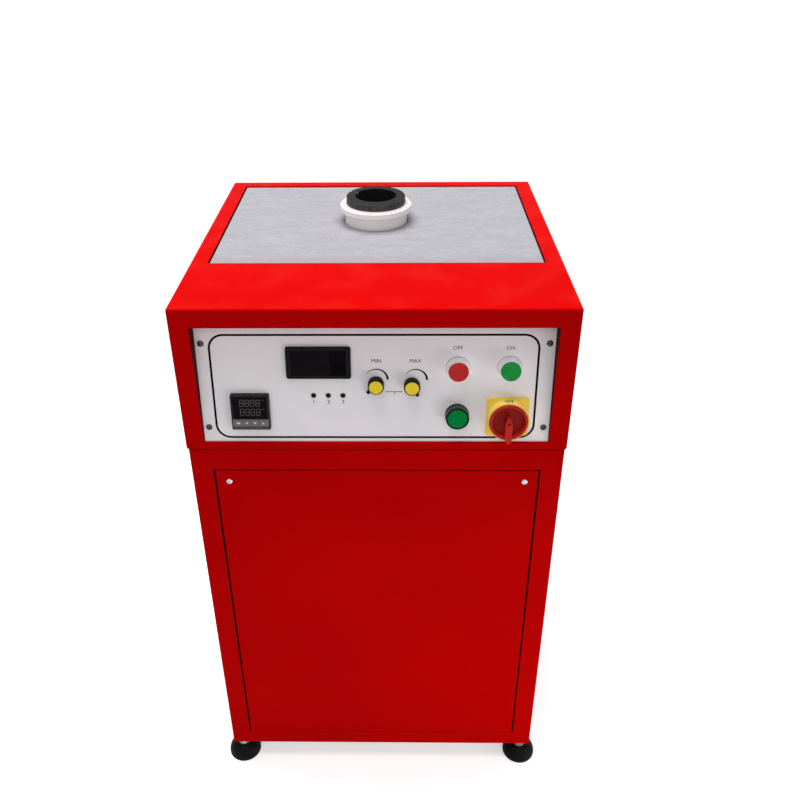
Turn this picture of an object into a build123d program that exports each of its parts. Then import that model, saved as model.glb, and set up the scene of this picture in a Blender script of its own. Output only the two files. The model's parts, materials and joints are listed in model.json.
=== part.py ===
from build123d import *
import os
from math import cos, pi, radians, sin, sqrt, tan

os.makedirs("parts", exist_ok=True)

# An electric induction furnace that melts gold in a lift-out graphite crucible.
# A sheet-steel cabinet on four levelling feet holds the power electronics. The head on top of it holds
# the coil round the crucible, and carries a control panel that leans back inside a framed pocket.
#
# Sizes are in millimetres and angles in degrees. X runs to the right, Y to the back and Z up.
# The origin is on the floor, below the middle of the box that bounds the whole furnace.

# ---------------------------------------------------------------- driving dimensions

# cabinet and head
head_width = 485.0
head_depth = 477.0
head_height = 199.3
head_overhang = 1.8
cabinet_height = 585.0
sheet = 1.5
bend_radius = 2.4
flange = 26.0
sheet_gap = 0.5

# deck between the cabinet and the head; its edge is the shadow line between them
deck_sheet = 1.5
deck_inset = 4.0

# levelling feet
foot_height = 35.5
foot_inset = 14.2
foot_radius = 25.3
foot_pad_height = 21.5
foot_disc_radius = 10.0
foot_disc_height = 2.5
foot_top_rim = 1.0
foot_edge = 1.0
foot_shoulder_inset = 5.0
foot_shoulder_drop = 6.0
foot_hex_width = 15.0
foot_hex_height = 8.0
stud_radius = 5.0
stud_reach = 22.0
stud_chamfer = 0.8
nut_block_radius = 9.0
nut_block_height = 14.0

# fits and cuts
running_gap = 0.08
press_gap = 0.05
cut_past = 1.0

# base plate
base_sheet = 2.0

# front access panel, which fills the front opening flush with the cabinet
door_stile = 28.4
door_top_rail = 31.0
door_bottom_rail = 26.8
door_gap = 2.4
door_bottom_gap = 0.6
door_fold = 12.0
door_ledge = 14.0
door_screw_inset = 17.0
door_boss_radius = 6.5
door_edge_radius = 0.9

# rear panel, screwed over the rear opening
rear_lip = 30.0
rear_overlap = 12.0
rear_screw_inset = 6.0

# louvres in the rear panel
louvre_count = 9
louvre_length = 130.0
louvre_pitch = 20.0
louvre_rise = 13.0
louvre_reach = 6.5
louvre_sheet = 1.2
louvre_side_margin = 105.7
louvre_height = 330.0

# air slots in the cabinet's sides and the head's back
slot_length = 90.0
slot_width = 5.0
slot_pitch = 14.0
side_slot_count = 9
side_slot_height = 150.0
back_slot_count = 5
back_slot_spacing = 120.0
back_slot_height = 95.0

# cover screws
screw_head_radius = 4.0
screw_head_top_radius = 2.8
screw_head_height = 2.2
screw_shank_radius = 1.9
screw_length = 9.0
screw_hole_radius = 2.2
screw_recess_length = 4.6
screw_recess_width = 1.0
screw_recess_depth = 1.2

# control panel and the pocket it lies in
pocket_side_margin = 24.3
pocket_top_margin = 24.7
pocket_bottom_margin = 10.8
panel_recess = 3.0
panel_tilt = 5.77
panel_sheet = 2.0
panel_gap = 0.5
panel_ledge = 13.0
panel_cutout_gap = 0.5
panel_hole_gap = 0.2
panel_screw_inset = 7.2
panel_screw_low = 21.0
panel_screw_high = 135.3

# furnace top: a heat-proof board let into the head's top
board_width = 436.0
board_depth = 316.0
board_front_margin = 137.6
board_thickness = 12.0
board_drop = 1.5
board_gap = 1.4
board_ledge = 12.0
board_chamfer = 0.8

# crucible, its ceramic sleeve and the coil
crucible_x = -4.0
crucible_setback = 300.8
crucible_rise = 35.9
crucible_lip_radius = 42.5
crucible_body_radius = 37.0
crucible_mouth_radius = 29.9
crucible_height = 132.0
crucible_floor = 12.0
crucible_floor_fillet = 9.0
crucible_lip_chamfer = 1.2
crucible_foot_chamfer = 4.0
notch_width = 7.0
notch_depth = 6.0
notch_angle = 153.0
crucible_gap = 0.6
sleeve_radius = 45.0
sleeve_flange_radius = 51.4
sleeve_flange_low = 15.8
sleeve_flange_high = 25.2
sleeve_depth = 121.0
sleeve_flange_chamfer = 0.8
sleeve_top_chamfer = 1.6
sleeve_hole_gap = 1.0
pedestal_radius = 60.0
pedestal_chamfer = 2.0
insulation_thickness = 4.0
insulation_gap = 0.3
coil_tube_radius = 4.0
coil_tube_bore = 2.8
coil_pitch = 11.0
coil_turns = 7.5
coil_clearance = 8.0
coil_lead = 72.0

# copper bars from the coil to the transformer
bar_width = 20.0
bar_thickness = 4.0
bar_setback = 50.0
bar_end = 12.0
bar_slot_gap = 4.0
bar_hole_gap = 0.4

# transformer
core_width = 150.0
core_depth = 70.0
core_height = 130.0
core_limb = 30.0
winding_thickness = 11.0
winding_gap = 1.5
terminal_height = 14.0
terminal_thickness = 12.0

# cooling water
hose_radius = 8.0
hose_bore = 5.6
hose_grip = 14.0
hose_setback = 118.0
hose_bend = 32.0
hose_hole_gap = 3.0
spigot_height = 105.0
spigot_tail_radius = 6.0
spigot_tail_length = 22.0
spigot_bore = 4.0
spigot_nut_width = 22.0
spigot_nut_height = 8.0
spigot_thread_radius = 8.0
spigot_inner_length = 20.0
spigot_inner_radius = 5.0
spigot_chamfer = 0.8

# mains cable gland
gland_side_margin = 90.7
gland_height = 95.0
gland_bore = 8.0
gland_thread_radius = 12.0
gland_nut_width = 30.0
gland_nut_height = 8.0
gland_cap_height = 14.0
gland_cap_radius = 13.5
gland_cap_fillet = 3.0

# fan on the rear panel
fan_size = 120.0
fan_thickness = 25.0
fan_bore_radius = 56.0
fan_hub_radius = 20.0
fan_motor_height = 6.0
fan_strut = 5.0
fan_strut_grip = 1.0
fan_hub_fillet = 3.0
fan_end_gap = 1.0
fan_mouth_gap = 2.0
fan_side_margin = 102.7
fan_height = 400.0
fan_hole_inset = 7.5
fan_blade_count = 7
fan_blade_sheet = 1.6
fan_blade_angle = 35.0
fan_blade_margin = 1.3
fan_blade_grip = 1.0
fan_tip_gap = 2.5
fan_axle_radius = 2.5
fan_axle_gap = 0.5
guard_wire = 2.4
guard_ring_count = 5
guard_lug_radius = 6.0

# electronics on the base plate
capacitor_radius = 32.0
capacitor_height = 110.0
capacitor_chamfer = 2.0
capacitor_stud_radius = 5.0
capacitor_stud_height = 5.0
capacitor_spacing = 74.0
capacitor_x = -150.0
capacitor_setback = 80.0
tank_width = 120.0
tank_depth = 60.0
tank_height = 95.0
tank_corner = 6.0
tank_setback = 80.0
tank_terminal_radius = 6.0
heat_sink_length = 200.0
heat_sink_height = 150.0
heat_sink_base = 10.0
heat_sink_fin = 24.0
heat_sink_fin_count = 12
heat_sink_fin_sheet = 2.0
heat_sink_x = -190.0
module_width = 62.0
module_height = 106.0
module_depth = 30.0
module_spacing = 76.0
module_terminal_width = 20.0
module_terminal_height = 13.0
module_terminal_pitch = 26.0
module_terminal_rise = 4.0
plate_length = 300.0
plate_height = 260.0
plate_foot = 18.0
plate_side_margin = 55.7
board_standoff = 10.0
spacer_inset = 6.0
spacer_radius = 4.0
circuit_length = 240.0
circuit_height = 180.0
circuit_sheet = 1.6
chip_columns = 4
chip_rows = 3
chip_column_pitch = 48.0
chip_row_pitch = 45.0
chip_length = 26.0
chip_width = 15.0
chip_rise = 5.0

# A place on the control panel is across from its middle, then up from its lower edge. What stands near
# one of its sides has its distance from that side instead.

# panel meter
meter_place = (-69.0, 110.7)
meter_width = 79.4
meter_height = 42.0
meter_out = 4.0
meter_corner = 3.0
meter_edge_radius = 0.8
meter_body_width = 75.0
meter_body_height = 38.0
meter_body_depth = 48.0
meter_window_width = 67.2
meter_window_height = 33.0
window_sheet = 1.2
window_sink = 0.4
window_gap = 0.15

# temperature controller
controller_side_margin = 61.8
controller_up = 44.7
controller_size = 48.0
controller_out = 7.0
controller_corner = 1.2
controller_chamfer = 0.7
controller_body_size = 44.6
controller_body_depth = 80.0
controller_window_width = 42.6
controller_window_height = 30.6
controller_window_up = 6.6
key_names = ["key_set", "key_shift", "key_down", "key_up"]
key_pitch = 10.3
key_width = 9.7
key_height = 7.4
key_up = -14.2
key_stand = 0.8
key_depth = 2.6
key_travel = 0.6
key_gap = 0.25
key_floor_gap = 0.3
key_fillet = 0.35

# power knobs
min_knob_place = (1.0, 82.3)
max_knob_place = (45.2, 80.8)
min_knob_pointer = 229.0
max_knob_pointer = 297.0
knob_radius = 9.9
knob_height = 12.7
knob_stand = 1.0
knob_chamfer = 0.5
knob_flute_count = 18
knob_flute_radius = 0.7
knob_flute_out = 0.2
knob_cap_radius = 8.4
knob_cap_sheet = 1.8
knob_cap_rise = 0.8
knob_cap_fillet = 0.5
pointer_reach = 16.4
pointer_width = 3.6
pointer_height = 3.2
pot_shaft_radius = 3.0
pot_bush_radius = 4.5
pot_bush_out = 0.6
pot_body_radius = 12.0
pot_body_depth = 11.0
pot_shaft_depth = 9.0
pot_shaft_end_gap = 1.0

# alarm lamps
alarm_places = [(-76.5, 65.6), (-58.3, 65.6), (-40.1, 65.6)]
alarm_radius = 2.6
alarm_rim_radius = 3.2
alarm_rim_height = 0.7
alarm_dome = 2.0
alarm_dome_step = 0.1
alarm_depth = 12.0

# stop and start buttons and the pilot lamp, all for a 22 mm hole
stop_side_margin = 116.6
stop_up = 103.1
start_side_margin = 53.6
start_up = 104.0
pilot_side_margin = 116.1
pilot_up = 39.2
button_hole_radius = 11.2
button_barrel_radius = 11.0
button_bezel_radius = 14.5
button_bezel_top_radius = 13.1
button_bezel_height = 13.0
button_bezel_edge = 0.9
button_cap_radius = 12.2
button_cap_out = 15.5
button_cap_height = 9.9
button_cap_fillet = 0.9
button_stem_radius = 8.0
button_stem_gap = 0.3
button_gap = 0.35
button_floor = 0.8
button_travel = 4.0
button_barrel_depth = 22.0
button_nut_radius = 14.0
button_nut_height = 4.0
contact_size = 30.0
contact_depth = 24.0
pilot_base_radius = 14.9
pilot_base_height = 3.0
pilot_base_step = 0.6
pilot_front_radius = 13.7
pilot_out = 13.0
pilot_lens_radius = 12.3
pilot_lens_depth = 3.0
pilot_lens_rise = 0.4
pilot_lens_fillet = 0.6
pilot_body_depth = 32.0

# main switch
isolator_side_margin = 53.4
isolator_up = 36.9
isolator_plate_size = 52.4
isolator_plate_sheet = 3.0
isolator_plate_corner = 3.0
isolator_plate_fillet = 0.8
isolator_collar_radius = 25.9
isolator_collar_top_radius = 25.4
isolator_collar_out = 17.4
isolator_well_floor = 8.0
isolator_collar_bore = 13.0
isolator_knob_radius = 23.5
isolator_knob_out = 19.7
isolator_knob_gap = 0.4
isolator_knob_fillet = 1.0
isolator_dish_radius = 20.6
isolator_dish_depth = 6.5
isolator_dish_taper = 20.0
isolator_handle_width = 8.8
isolator_handle_top = 10.0
isolator_handle_bottom = 27.4
isolator_handle_point = 11.0
isolator_handle_tail = 7.0
isolator_handle_out = 23.3
isolator_boss_radius = 12.0
isolator_shaft_radius = 4.0
isolator_shaft_depth = 20.0
isolator_shaft_end_gap = 1.0
isolator_hole_radius = 2.0
isolator_hole_depth = 6.0
isolator_body_size = 45.0
isolator_body_depth = 58.0
isolator_body_corner = 3.0
isolator_bush_radius = 8.0

# ---------------------------------------------------------------- places worked out from them

cabinet_width = head_width - 2 * head_overhang
cabinet_depth = head_depth - 2 * head_overhang
louvre_x = louvre_side_margin - cabinet_width / 2
gland_x = gland_side_margin - cabinet_width / 2
fan_x = cabinet_width / 2 - fan_side_margin
plate_x = cabinet_width / 2 - plate_side_margin
cabinet_bottom = foot_height
cabinet_top = cabinet_bottom + cabinet_height
head_bottom = cabinet_top + deck_sheet
head_top = head_bottom + head_height

# The main switch's handle reaches furthest forward and the water spigots reach furthest back.
lean_sine = sin(radians(panel_tilt))
lean_cosine = cos(radians(panel_tilt))
handle_low_end = isolator_up - isolator_handle_bottom
front_reach = isolator_handle_out * lean_cosine - handle_low_end * lean_sine - panel_recess
rear_reach = sheet + spigot_nut_height + spigot_tail_length - head_overhang
head_front = (front_reach - rear_reach - head_depth) / 2
head_rear = head_front + head_depth
middle_y = head_front + head_depth / 2
cabinet_front = head_front + head_overhang
cabinet_rear = head_rear - head_overhang
rear_skin = cabinet_rear + sheet
base_top = cabinet_bottom + sheet + base_sheet

foot_x = cabinet_width / 2 - foot_inset
foot_y = cabinet_depth / 2 - foot_inset
foot_places = {
    "front_left": (-foot_x, middle_y - foot_y),
    "front_right": (foot_x, middle_y - foot_y),
    "rear_left": (-foot_x, middle_y + foot_y),
    "rear_right": (foot_x, middle_y + foot_y),
}

cabinet_front_face = Plane(origin=(0, cabinet_front, 0), x_dir=(1, 0, 0), z_dir=(0, -1, 0))
rear_face = Plane(origin=(0, cabinet_rear, 0), x_dir=(-1, 0, 0), z_dir=(0, 1, 0))

door_opening_width = cabinet_width - 2 * door_stile
door_opening_height = cabinet_height - door_top_rail - door_bottom_rail
door_opening_middle = cabinet_bottom + door_bottom_rail + door_opening_height / 2
door_width = door_opening_width - 2 * door_gap
door_height = door_opening_height - door_gap - door_bottom_gap
door_middle = cabinet_bottom + door_bottom_rail + door_bottom_gap + door_height / 2
door_screw_x = door_width / 2 - door_screw_inset
door_screw_z = door_middle + door_height / 2 - door_screw_inset

rear_opening_width = cabinet_width - 2 * rear_lip
rear_opening_height = cabinet_height - 2 * rear_lip
rear_panel_width = rear_opening_width + 2 * rear_overlap
rear_panel_height = rear_opening_height + 2 * rear_overlap
rear_middle = cabinet_bottom + cabinet_height / 2
rear_screw_x = rear_panel_width / 2 - rear_screw_inset
rear_screw_z = rear_panel_height / 2 - rear_screw_inset

pocket_width = head_width - 2 * pocket_side_margin
pocket_bottom = head_bottom + pocket_bottom_margin
pocket_top = head_top - pocket_top_margin
panel_face = Plane(
    origin=(0, head_front + panel_recess, pocket_bottom),
    x_dir=(1, 0, 0),
    z_dir=(0, -lean_cosine, lean_sine),
)
panel_width = pocket_width - 2 * panel_gap
panel_length = (pocket_top - pocket_bottom) / lean_cosine - 2 * panel_gap
panel_middle = panel_gap + panel_length / 2
panel_screw_x = panel_width / 2 - panel_screw_inset
controller_place = (controller_side_margin - panel_width / 2, controller_up)
stop_place = (panel_width / 2 - stop_side_margin, stop_up)
start_place = (panel_width / 2 - start_side_margin, start_up)
pilot_place = (panel_width / 2 - pilot_side_margin, pilot_up)
isolator_place = (panel_width / 2 - isolator_side_margin, isolator_up)

board_top = head_top - board_drop
board_bottom = board_top - board_thickness
board_y = head_front + board_front_margin + board_depth / 2

crucible_y = head_front + crucible_setback
crucible_top = head_top + crucible_rise
crucible_bottom = crucible_top - crucible_height
melt_floor = crucible_bottom + crucible_floor
lip_bottom = head_top + sleeve_flange_high
sleeve_bottom = head_top - sleeve_depth
coil_radius = sleeve_radius + insulation_gap + insulation_thickness + insulation_gap + coil_tube_radius
coil_bottom = sleeve_bottom + coil_clearance
coil_top = coil_bottom + coil_turns * coil_pitch
lead_ends = {-1: coil_bottom, 1: coil_top}
bar_y = crucible_y + bar_setback
lead_slope = coil_pitch / (2 * pi * coil_radius)
transformer_top = base_top + core_height


def on_panel(place, out=0.0):
    """A plane parallel to the control panel, with its middle at a place on it, standing out from it."""
    across, up = place
    middle = panel_face.from_local_coords(Vector(across, up, out))
    return Plane(origin=middle, x_dir=panel_face.x_dir, z_dir=panel_face.z_dir)


def turned(plane, angle):
    """The plane turned about its own normal."""
    ahead = plane.x_dir * cos(radians(angle)) + plane.y_dir * sin(radians(angle))
    return Plane(origin=plane.origin, x_dir=ahead, z_dir=plane.z_dir)


def moved_on_panel(place, across, up):
    """A place on the panel, shifted across and up."""
    return (place[0] + across, place[1] + up)


def save(piece, name):
    """Labels a finished piece and writes it to a file of its own."""
    piece.part.label = name
    export_step(piece.part, f"parts/{name}.step")


# ---------------------------------------------------------------- cabinet

# The cabinet's skin is one welded shell. Its front wall frames the access panel, and folded ledges behind
# the opening stop the panel. Flanges turned inwards stiffen its top and bottom.
with BuildPart() as cabinet_shell:
    with BuildSketch(Plane.XY.offset(cabinet_bottom)):
        with Locations((0, middle_y)):
            Rectangle(cabinet_width, cabinet_depth)
    extrude(amount=cabinet_height)
    fillet(cabinet_shell.edges().filter_by(Axis.Z), bend_radius)
    with BuildSketch(Plane.XY.offset(cabinet_bottom + sheet)):
        with Locations((0, middle_y)):
            Rectangle(cabinet_width - 2 * sheet, cabinet_depth - 2 * sheet)
    extrude(amount=cabinet_height - 2 * sheet, mode=Mode.SUBTRACT)
    with BuildSketch(Plane.XY.offset(cabinet_bottom)):
        with Locations((0, middle_y)):
            Rectangle(cabinet_width - 2 * flange, cabinet_depth - 2 * flange)
    extrude(amount=cabinet_height, mode=Mode.SUBTRACT)
    with BuildSketch(cabinet_front_face):
        with Locations((0, door_opening_middle)):
            Rectangle(door_opening_width, door_opening_height)
    extrude(amount=-sheet, mode=Mode.SUBTRACT)
    with BuildSketch(cabinet_front_face.offset(-sheet)):
        with Locations((0, door_opening_middle)):
            Rectangle(door_opening_width + 2 * sheet, door_opening_height + 2 * sheet)
            Rectangle(door_opening_width, door_opening_height, mode=Mode.SUBTRACT)
    extrude(amount=sheet - door_fold)
    with BuildSketch(cabinet_front_face.offset(-door_fold)):
        with Locations((0, door_opening_middle)):
            Rectangle(door_opening_width + 2 * sheet, door_opening_height + 2 * sheet)
            Rectangle(
                door_opening_width - 2 * door_ledge,
                door_opening_height - 2 * door_ledge,
                mode=Mode.SUBTRACT,
            )
    extrude(amount=-sheet)
    with BuildSketch(cabinet_front_face.offset(-door_fold)):
        with Locations((-door_screw_x, door_screw_z), (door_screw_x, door_screw_z)):
            Circle(screw_hole_radius)
    extrude(amount=-sheet, mode=Mode.SUBTRACT)
    with BuildSketch(rear_face):
        with Locations((0, rear_middle)):
            Rectangle(rear_opening_width, rear_opening_height)
            with GridLocations(2 * rear_screw_x, rear_screw_z, 2, 3):
                Circle(screw_hole_radius)
    extrude(amount=-sheet, mode=Mode.SUBTRACT)
    with BuildSketch(Plane.YZ):
        with Locations((middle_y, cabinet_bottom + side_slot_height)):
            with GridLocations(slot_length, slot_pitch, 1, side_slot_count):
                SlotOverall(slot_length, slot_width)
    extrude(amount=head_width, both=True, mode=Mode.SUBTRACT)
    with BuildSketch(Plane.XY.offset(cabinet_bottom)):
        with Locations(*foot_places.values()):
            Circle(nut_block_radius)
    extrude(amount=sheet, mode=Mode.SUBTRACT)
save(cabinet_shell, "cabinet_shell")

# The base plate lies on the bottom flange. A nut block over each foot takes the foot's threaded stud.
with BuildPart() as base_plate:
    with BuildSketch(Plane.XY.offset(cabinet_bottom + sheet)):
        with Locations((0, middle_y)):
            Rectangle(
                cabinet_width - 2 * sheet - 2 * sheet_gap,
                cabinet_depth - 2 * sheet - 2 * sheet_gap,
            )
    extrude(amount=base_sheet)
    with BuildSketch(Plane.XY.offset(base_top)):
        with Locations(*foot_places.values()):
            Circle(nut_block_radius)
    extrude(amount=nut_block_height)
    with BuildSketch(Plane.XY.offset(cabinet_bottom)):
        with Locations(*foot_places.values()):
            Circle(stud_radius + running_gap)
    extrude(amount=sheet + base_sheet + nut_block_height, mode=Mode.SUBTRACT)
save(base_plate, "base_plate")

# Each foot is a rubber dome with a steel stud. The disc on the stud presses on the dome, and its hexagon
# takes a spanner that levels the cabinet.
dome_top_radius = foot_disc_radius + foot_top_rim
for corner, (x, y) in foot_places.items():
    with BuildPart() as foot_pad:
        with BuildSketch(Plane.XZ.offset(-y)):
            with BuildLine():
                Polyline((x, 0), (x + foot_radius - foot_edge, 0), (x + foot_radius, foot_edge))
                ThreePointArc(
                    (x + foot_radius, foot_edge),
                    (x + foot_radius - foot_shoulder_inset, foot_pad_height - foot_shoulder_drop),
                    (x + dome_top_radius, foot_pad_height),
                )
                Polyline((x + dome_top_radius, foot_pad_height), (x, foot_pad_height), (x, 0))
            make_face()
        revolve(axis=Axis((x, y, 0), (0, 0, 1)))
    save(foot_pad, f"foot_pad_{corner}")

    with BuildPart() as foot_stud:
        with BuildSketch(Plane.XY.offset(foot_pad_height)):
            with Locations((x, y)):
                Circle(foot_disc_radius)
        extrude(amount=foot_disc_height)
        with BuildSketch(Plane.XY.offset(foot_pad_height + foot_disc_height)):
            with Locations((x, y)):
                RegularPolygon(foot_hex_width / 2, 6, major_radius=False)
        extrude(amount=foot_hex_height)
        with BuildSketch(Plane.XY.offset(foot_pad_height + foot_disc_height)):
            with Locations((x, y)):
                Circle(stud_radius)
        extrude(amount=foot_height - foot_pad_height - foot_disc_height + stud_reach)
        chamfer(foot_stud.edges().group_by(Axis.Z)[-1], stud_chamfer)
    save(foot_stud, f"foot_stud_{corner}")

# The access panel is a shallow folded pan. A boss behind each screw keeps the face from bowing.
with BuildPart() as front_access_panel:
    with BuildSketch(cabinet_front_face):
        with Locations((0, door_middle)):
            Rectangle(door_width, door_height)
    extrude(amount=-door_fold)
    fillet(front_access_panel.faces().sort_by(Axis.Y)[0].edges(), door_edge_radius)
    with BuildSketch(cabinet_front_face.offset(-sheet)):
        with Locations((0, door_middle)):
            Rectangle(door_width - 2 * sheet, door_height - 2 * sheet)
    extrude(amount=sheet - door_fold, mode=Mode.SUBTRACT)
    with BuildSketch(cabinet_front_face.offset(-sheet)):
        with Locations((-door_screw_x, door_screw_z), (door_screw_x, door_screw_z)):
            Circle(door_boss_radius)
    extrude(amount=sheet - door_fold)
    with BuildSketch(cabinet_front_face):
        with Locations((-door_screw_x, door_screw_z), (door_screw_x, door_screw_z)):
            Circle(screw_hole_radius)
    extrude(amount=-door_fold, mode=Mode.SUBTRACT)
save(front_access_panel, "front_access_panel")

# The rear panel carries the fan, the water spigots and the mains gland, and breathes through louvres
# pressed outwards with their mouths facing down.
louvre_hollow_reach = louvre_reach - louvre_sheet
louvre_hollow_rise = louvre_rise * louvre_hollow_reach / louvre_reach
with BuildPart() as rear_panel:
    with BuildSketch(rear_face):
        with Locations((0, rear_middle)):
            Rectangle(rear_panel_width, rear_panel_height)
    extrude(amount=sheet)
    for row in range(louvre_count):
        mouth = cabinet_bottom + louvre_height + (row - (louvre_count - 1) / 2) * louvre_pitch
        with BuildSketch(Plane.YZ.offset(louvre_x - louvre_length / 2)):
            with BuildLine():
                Polyline(
                    (rear_skin, mouth),
                    (rear_skin + louvre_reach, mouth),
                    (rear_skin, mouth + louvre_rise),
                    close=True,
                )
            make_face()
        extrude(amount=louvre_length)
        with BuildSketch(Plane.YZ.offset(louvre_x - louvre_length / 2 + louvre_sheet)):
            with BuildLine():
                Polyline(
                    (cabinet_rear, mouth),
                    (rear_skin + louvre_hollow_reach, mouth),
                    (rear_skin, mouth + louvre_hollow_rise),
                    (cabinet_rear, mouth + louvre_hollow_rise),
                    close=True,
                )
            make_face()
        extrude(amount=louvre_length - 2 * louvre_sheet, mode=Mode.SUBTRACT)
    with BuildSketch(rear_face):
        with Locations((-fan_x, cabinet_bottom + fan_height)):
            Circle(fan_bore_radius)
            with GridLocations(fan_size - 2 * fan_hole_inset, fan_size - 2 * fan_hole_inset, 2, 2):
                Circle(screw_hole_radius)
        with Locations((0, rear_middle)):
            with GridLocations(2 * rear_screw_x, rear_screw_z, 2, 3):
                Circle(screw_hole_radius)
        with Locations((-gland_x, cabinet_bottom + gland_height)):
            Circle(gland_thread_radius)
        for side in lead_ends:
            with Locations((-crucible_x - side * coil_radius, cabinet_bottom + spigot_height)):
                Circle(spigot_thread_radius)
    extrude(amount=sheet, mode=Mode.SUBTRACT)
save(rear_panel, "rear_panel")

# The deck closes the cabinet and carries the head. Bars and hoses rise through it to the coil.
with BuildPart() as deck_plate:
    with BuildSketch(Plane.XY.offset(cabinet_top)):
        with Locations((0, middle_y)):
            Rectangle(cabinet_width - 2 * deck_inset, cabinet_depth - 2 * deck_inset)
        for side in lead_ends:
            with Locations((crucible_x + side * coil_radius, bar_y)):
                Rectangle(
                    bar_width + 2 * bar_slot_gap,
                    bar_thickness + 2 * bar_slot_gap,
                    mode=Mode.SUBTRACT,
                )
            with Locations((crucible_x + side * coil_radius, crucible_y + hose_setback)):
                Circle(hose_radius + hose_hole_gap, mode=Mode.SUBTRACT)
    extrude(amount=deck_sheet)
save(deck_plate, "deck_plate")

# ---------------------------------------------------------------- head


def pocket_back(height, behind):
    """How far back the leaning panel's plane is at a height, a distance behind its face."""
    lean_back = (height - pocket_bottom) * tan(radians(panel_tilt))
    return head_front + panel_recess + lean_back + behind / lean_cosine


def pocket_profile(low, high, behind):
    """The pocket's side outline from the head's front back to a plane parallel to the panel."""
    return [
        (head_front, low),
        (pocket_back(low, behind), low),
        (pocket_back(high, behind), high),
        (head_front, high),
    ]


# The head is one welded shell too. The pocket's walls run back from the front opening to the leaning
# ledge behind the control panel, and the board's ledge hangs below the opening in the top.
ledge_back = panel_sheet + sheet
with BuildPart() as head_casing:
    with BuildSketch(Plane.XY.offset(head_bottom)):
        with Locations((0, middle_y)):
            Rectangle(head_width, head_depth)
    extrude(amount=head_height)
    fillet(head_casing.edges(), bend_radius)
    with BuildSketch(Plane.XY.offset(head_bottom + sheet)):
        with Locations((0, middle_y)):
            Rectangle(head_width - 2 * sheet, head_depth - 2 * sheet)
    extrude(amount=head_height - 2 * sheet, mode=Mode.SUBTRACT)
    with BuildSketch(Plane.XY.offset(head_bottom)):
        with Locations((0, middle_y)):
            Rectangle(head_width - 2 * flange, head_depth - 2 * flange)
    extrude(amount=sheet, mode=Mode.SUBTRACT)
    with BuildSketch(Plane.YZ):
        with BuildLine():
            Polyline(*pocket_profile(pocket_bottom - sheet, pocket_top + sheet, ledge_back), close=True)
        make_face()
    extrude(amount=pocket_width / 2 + sheet, both=True)
    with BuildSketch(Plane.YZ):
        with BuildLine():
            Polyline(*pocket_profile(pocket_bottom, pocket_top, ledge_back), close=True)
        make_face()
    extrude(amount=pocket_width / 2, both=True, mode=Mode.SUBTRACT)
    with BuildSketch(on_panel((0, panel_middle), -panel_sheet)):
        Rectangle(panel_width + 2 * panel_gap, panel_length + 2 * panel_gap)
        Rectangle(panel_width - 2 * panel_ledge, panel_length - 2 * panel_ledge, mode=Mode.SUBTRACT)
    extrude(amount=-sheet)
    with BuildSketch(on_panel((0, 0), -panel_sheet)):
        for up in (panel_screw_low, panel_screw_high):
            with Locations((-panel_screw_x, up), (panel_screw_x, up)):
                Circle(screw_hole_radius)
    extrude(amount=-sheet, mode=Mode.SUBTRACT)
    with BuildSketch(Plane.XY.offset(head_top - sheet)):
        with Locations((0, board_y)):
            Rectangle(board_width + 2 * board_gap, board_depth + 2 * board_gap)
    extrude(amount=sheet, mode=Mode.SUBTRACT)
    with BuildSketch(Plane.XY.offset(head_top - sheet)):
        with Locations((0, board_y)):
            Rectangle(board_width + 2 * board_gap + 2 * sheet, board_depth + 2 * board_gap + 2 * sheet)
            Rectangle(board_width + 2 * board_gap, board_depth + 2 * board_gap, mode=Mode.SUBTRACT)
    extrude(amount=board_bottom - head_top)
    with BuildSketch(Plane.XY.offset(board_bottom)):
        with Locations((0, board_y)):
            Rectangle(board_width + 2 * board_gap + 2 * sheet, board_depth + 2 * board_gap + 2 * sheet)
            Rectangle(board_width - 2 * board_ledge, board_depth - 2 * board_ledge, mode=Mode.SUBTRACT)
    extrude(amount=-sheet)
    with BuildSketch(rear_face.offset(head_overhang)):
        with Locations((0, head_bottom + back_slot_height)):
            with GridLocations(back_slot_spacing, slot_pitch, 3, back_slot_count):
                SlotOverall(slot_length, slot_width)
    extrude(amount=-sheet, mode=Mode.SUBTRACT)
save(head_casing, "head_casing")

# The board is pressed ceramic fibre, loose in its recess, with one hole for the sleeve.
with BuildPart() as top_board:
    with BuildSketch(Plane.XY.offset(board_bottom)):
        with Locations((0, board_y)):
            Rectangle(board_width, board_depth)
        with Locations((crucible_x, crucible_y)):
            Circle(sleeve_radius + sleeve_hole_gap, mode=Mode.SUBTRACT)
    extrude(amount=board_thickness)
    chamfer(top_board.faces().sort_by(Axis.Z)[-1].outer_wire().edges(), board_chamfer)
save(top_board, "top_board")

# ---------------------------------------------------------------- crucible and coil

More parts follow.
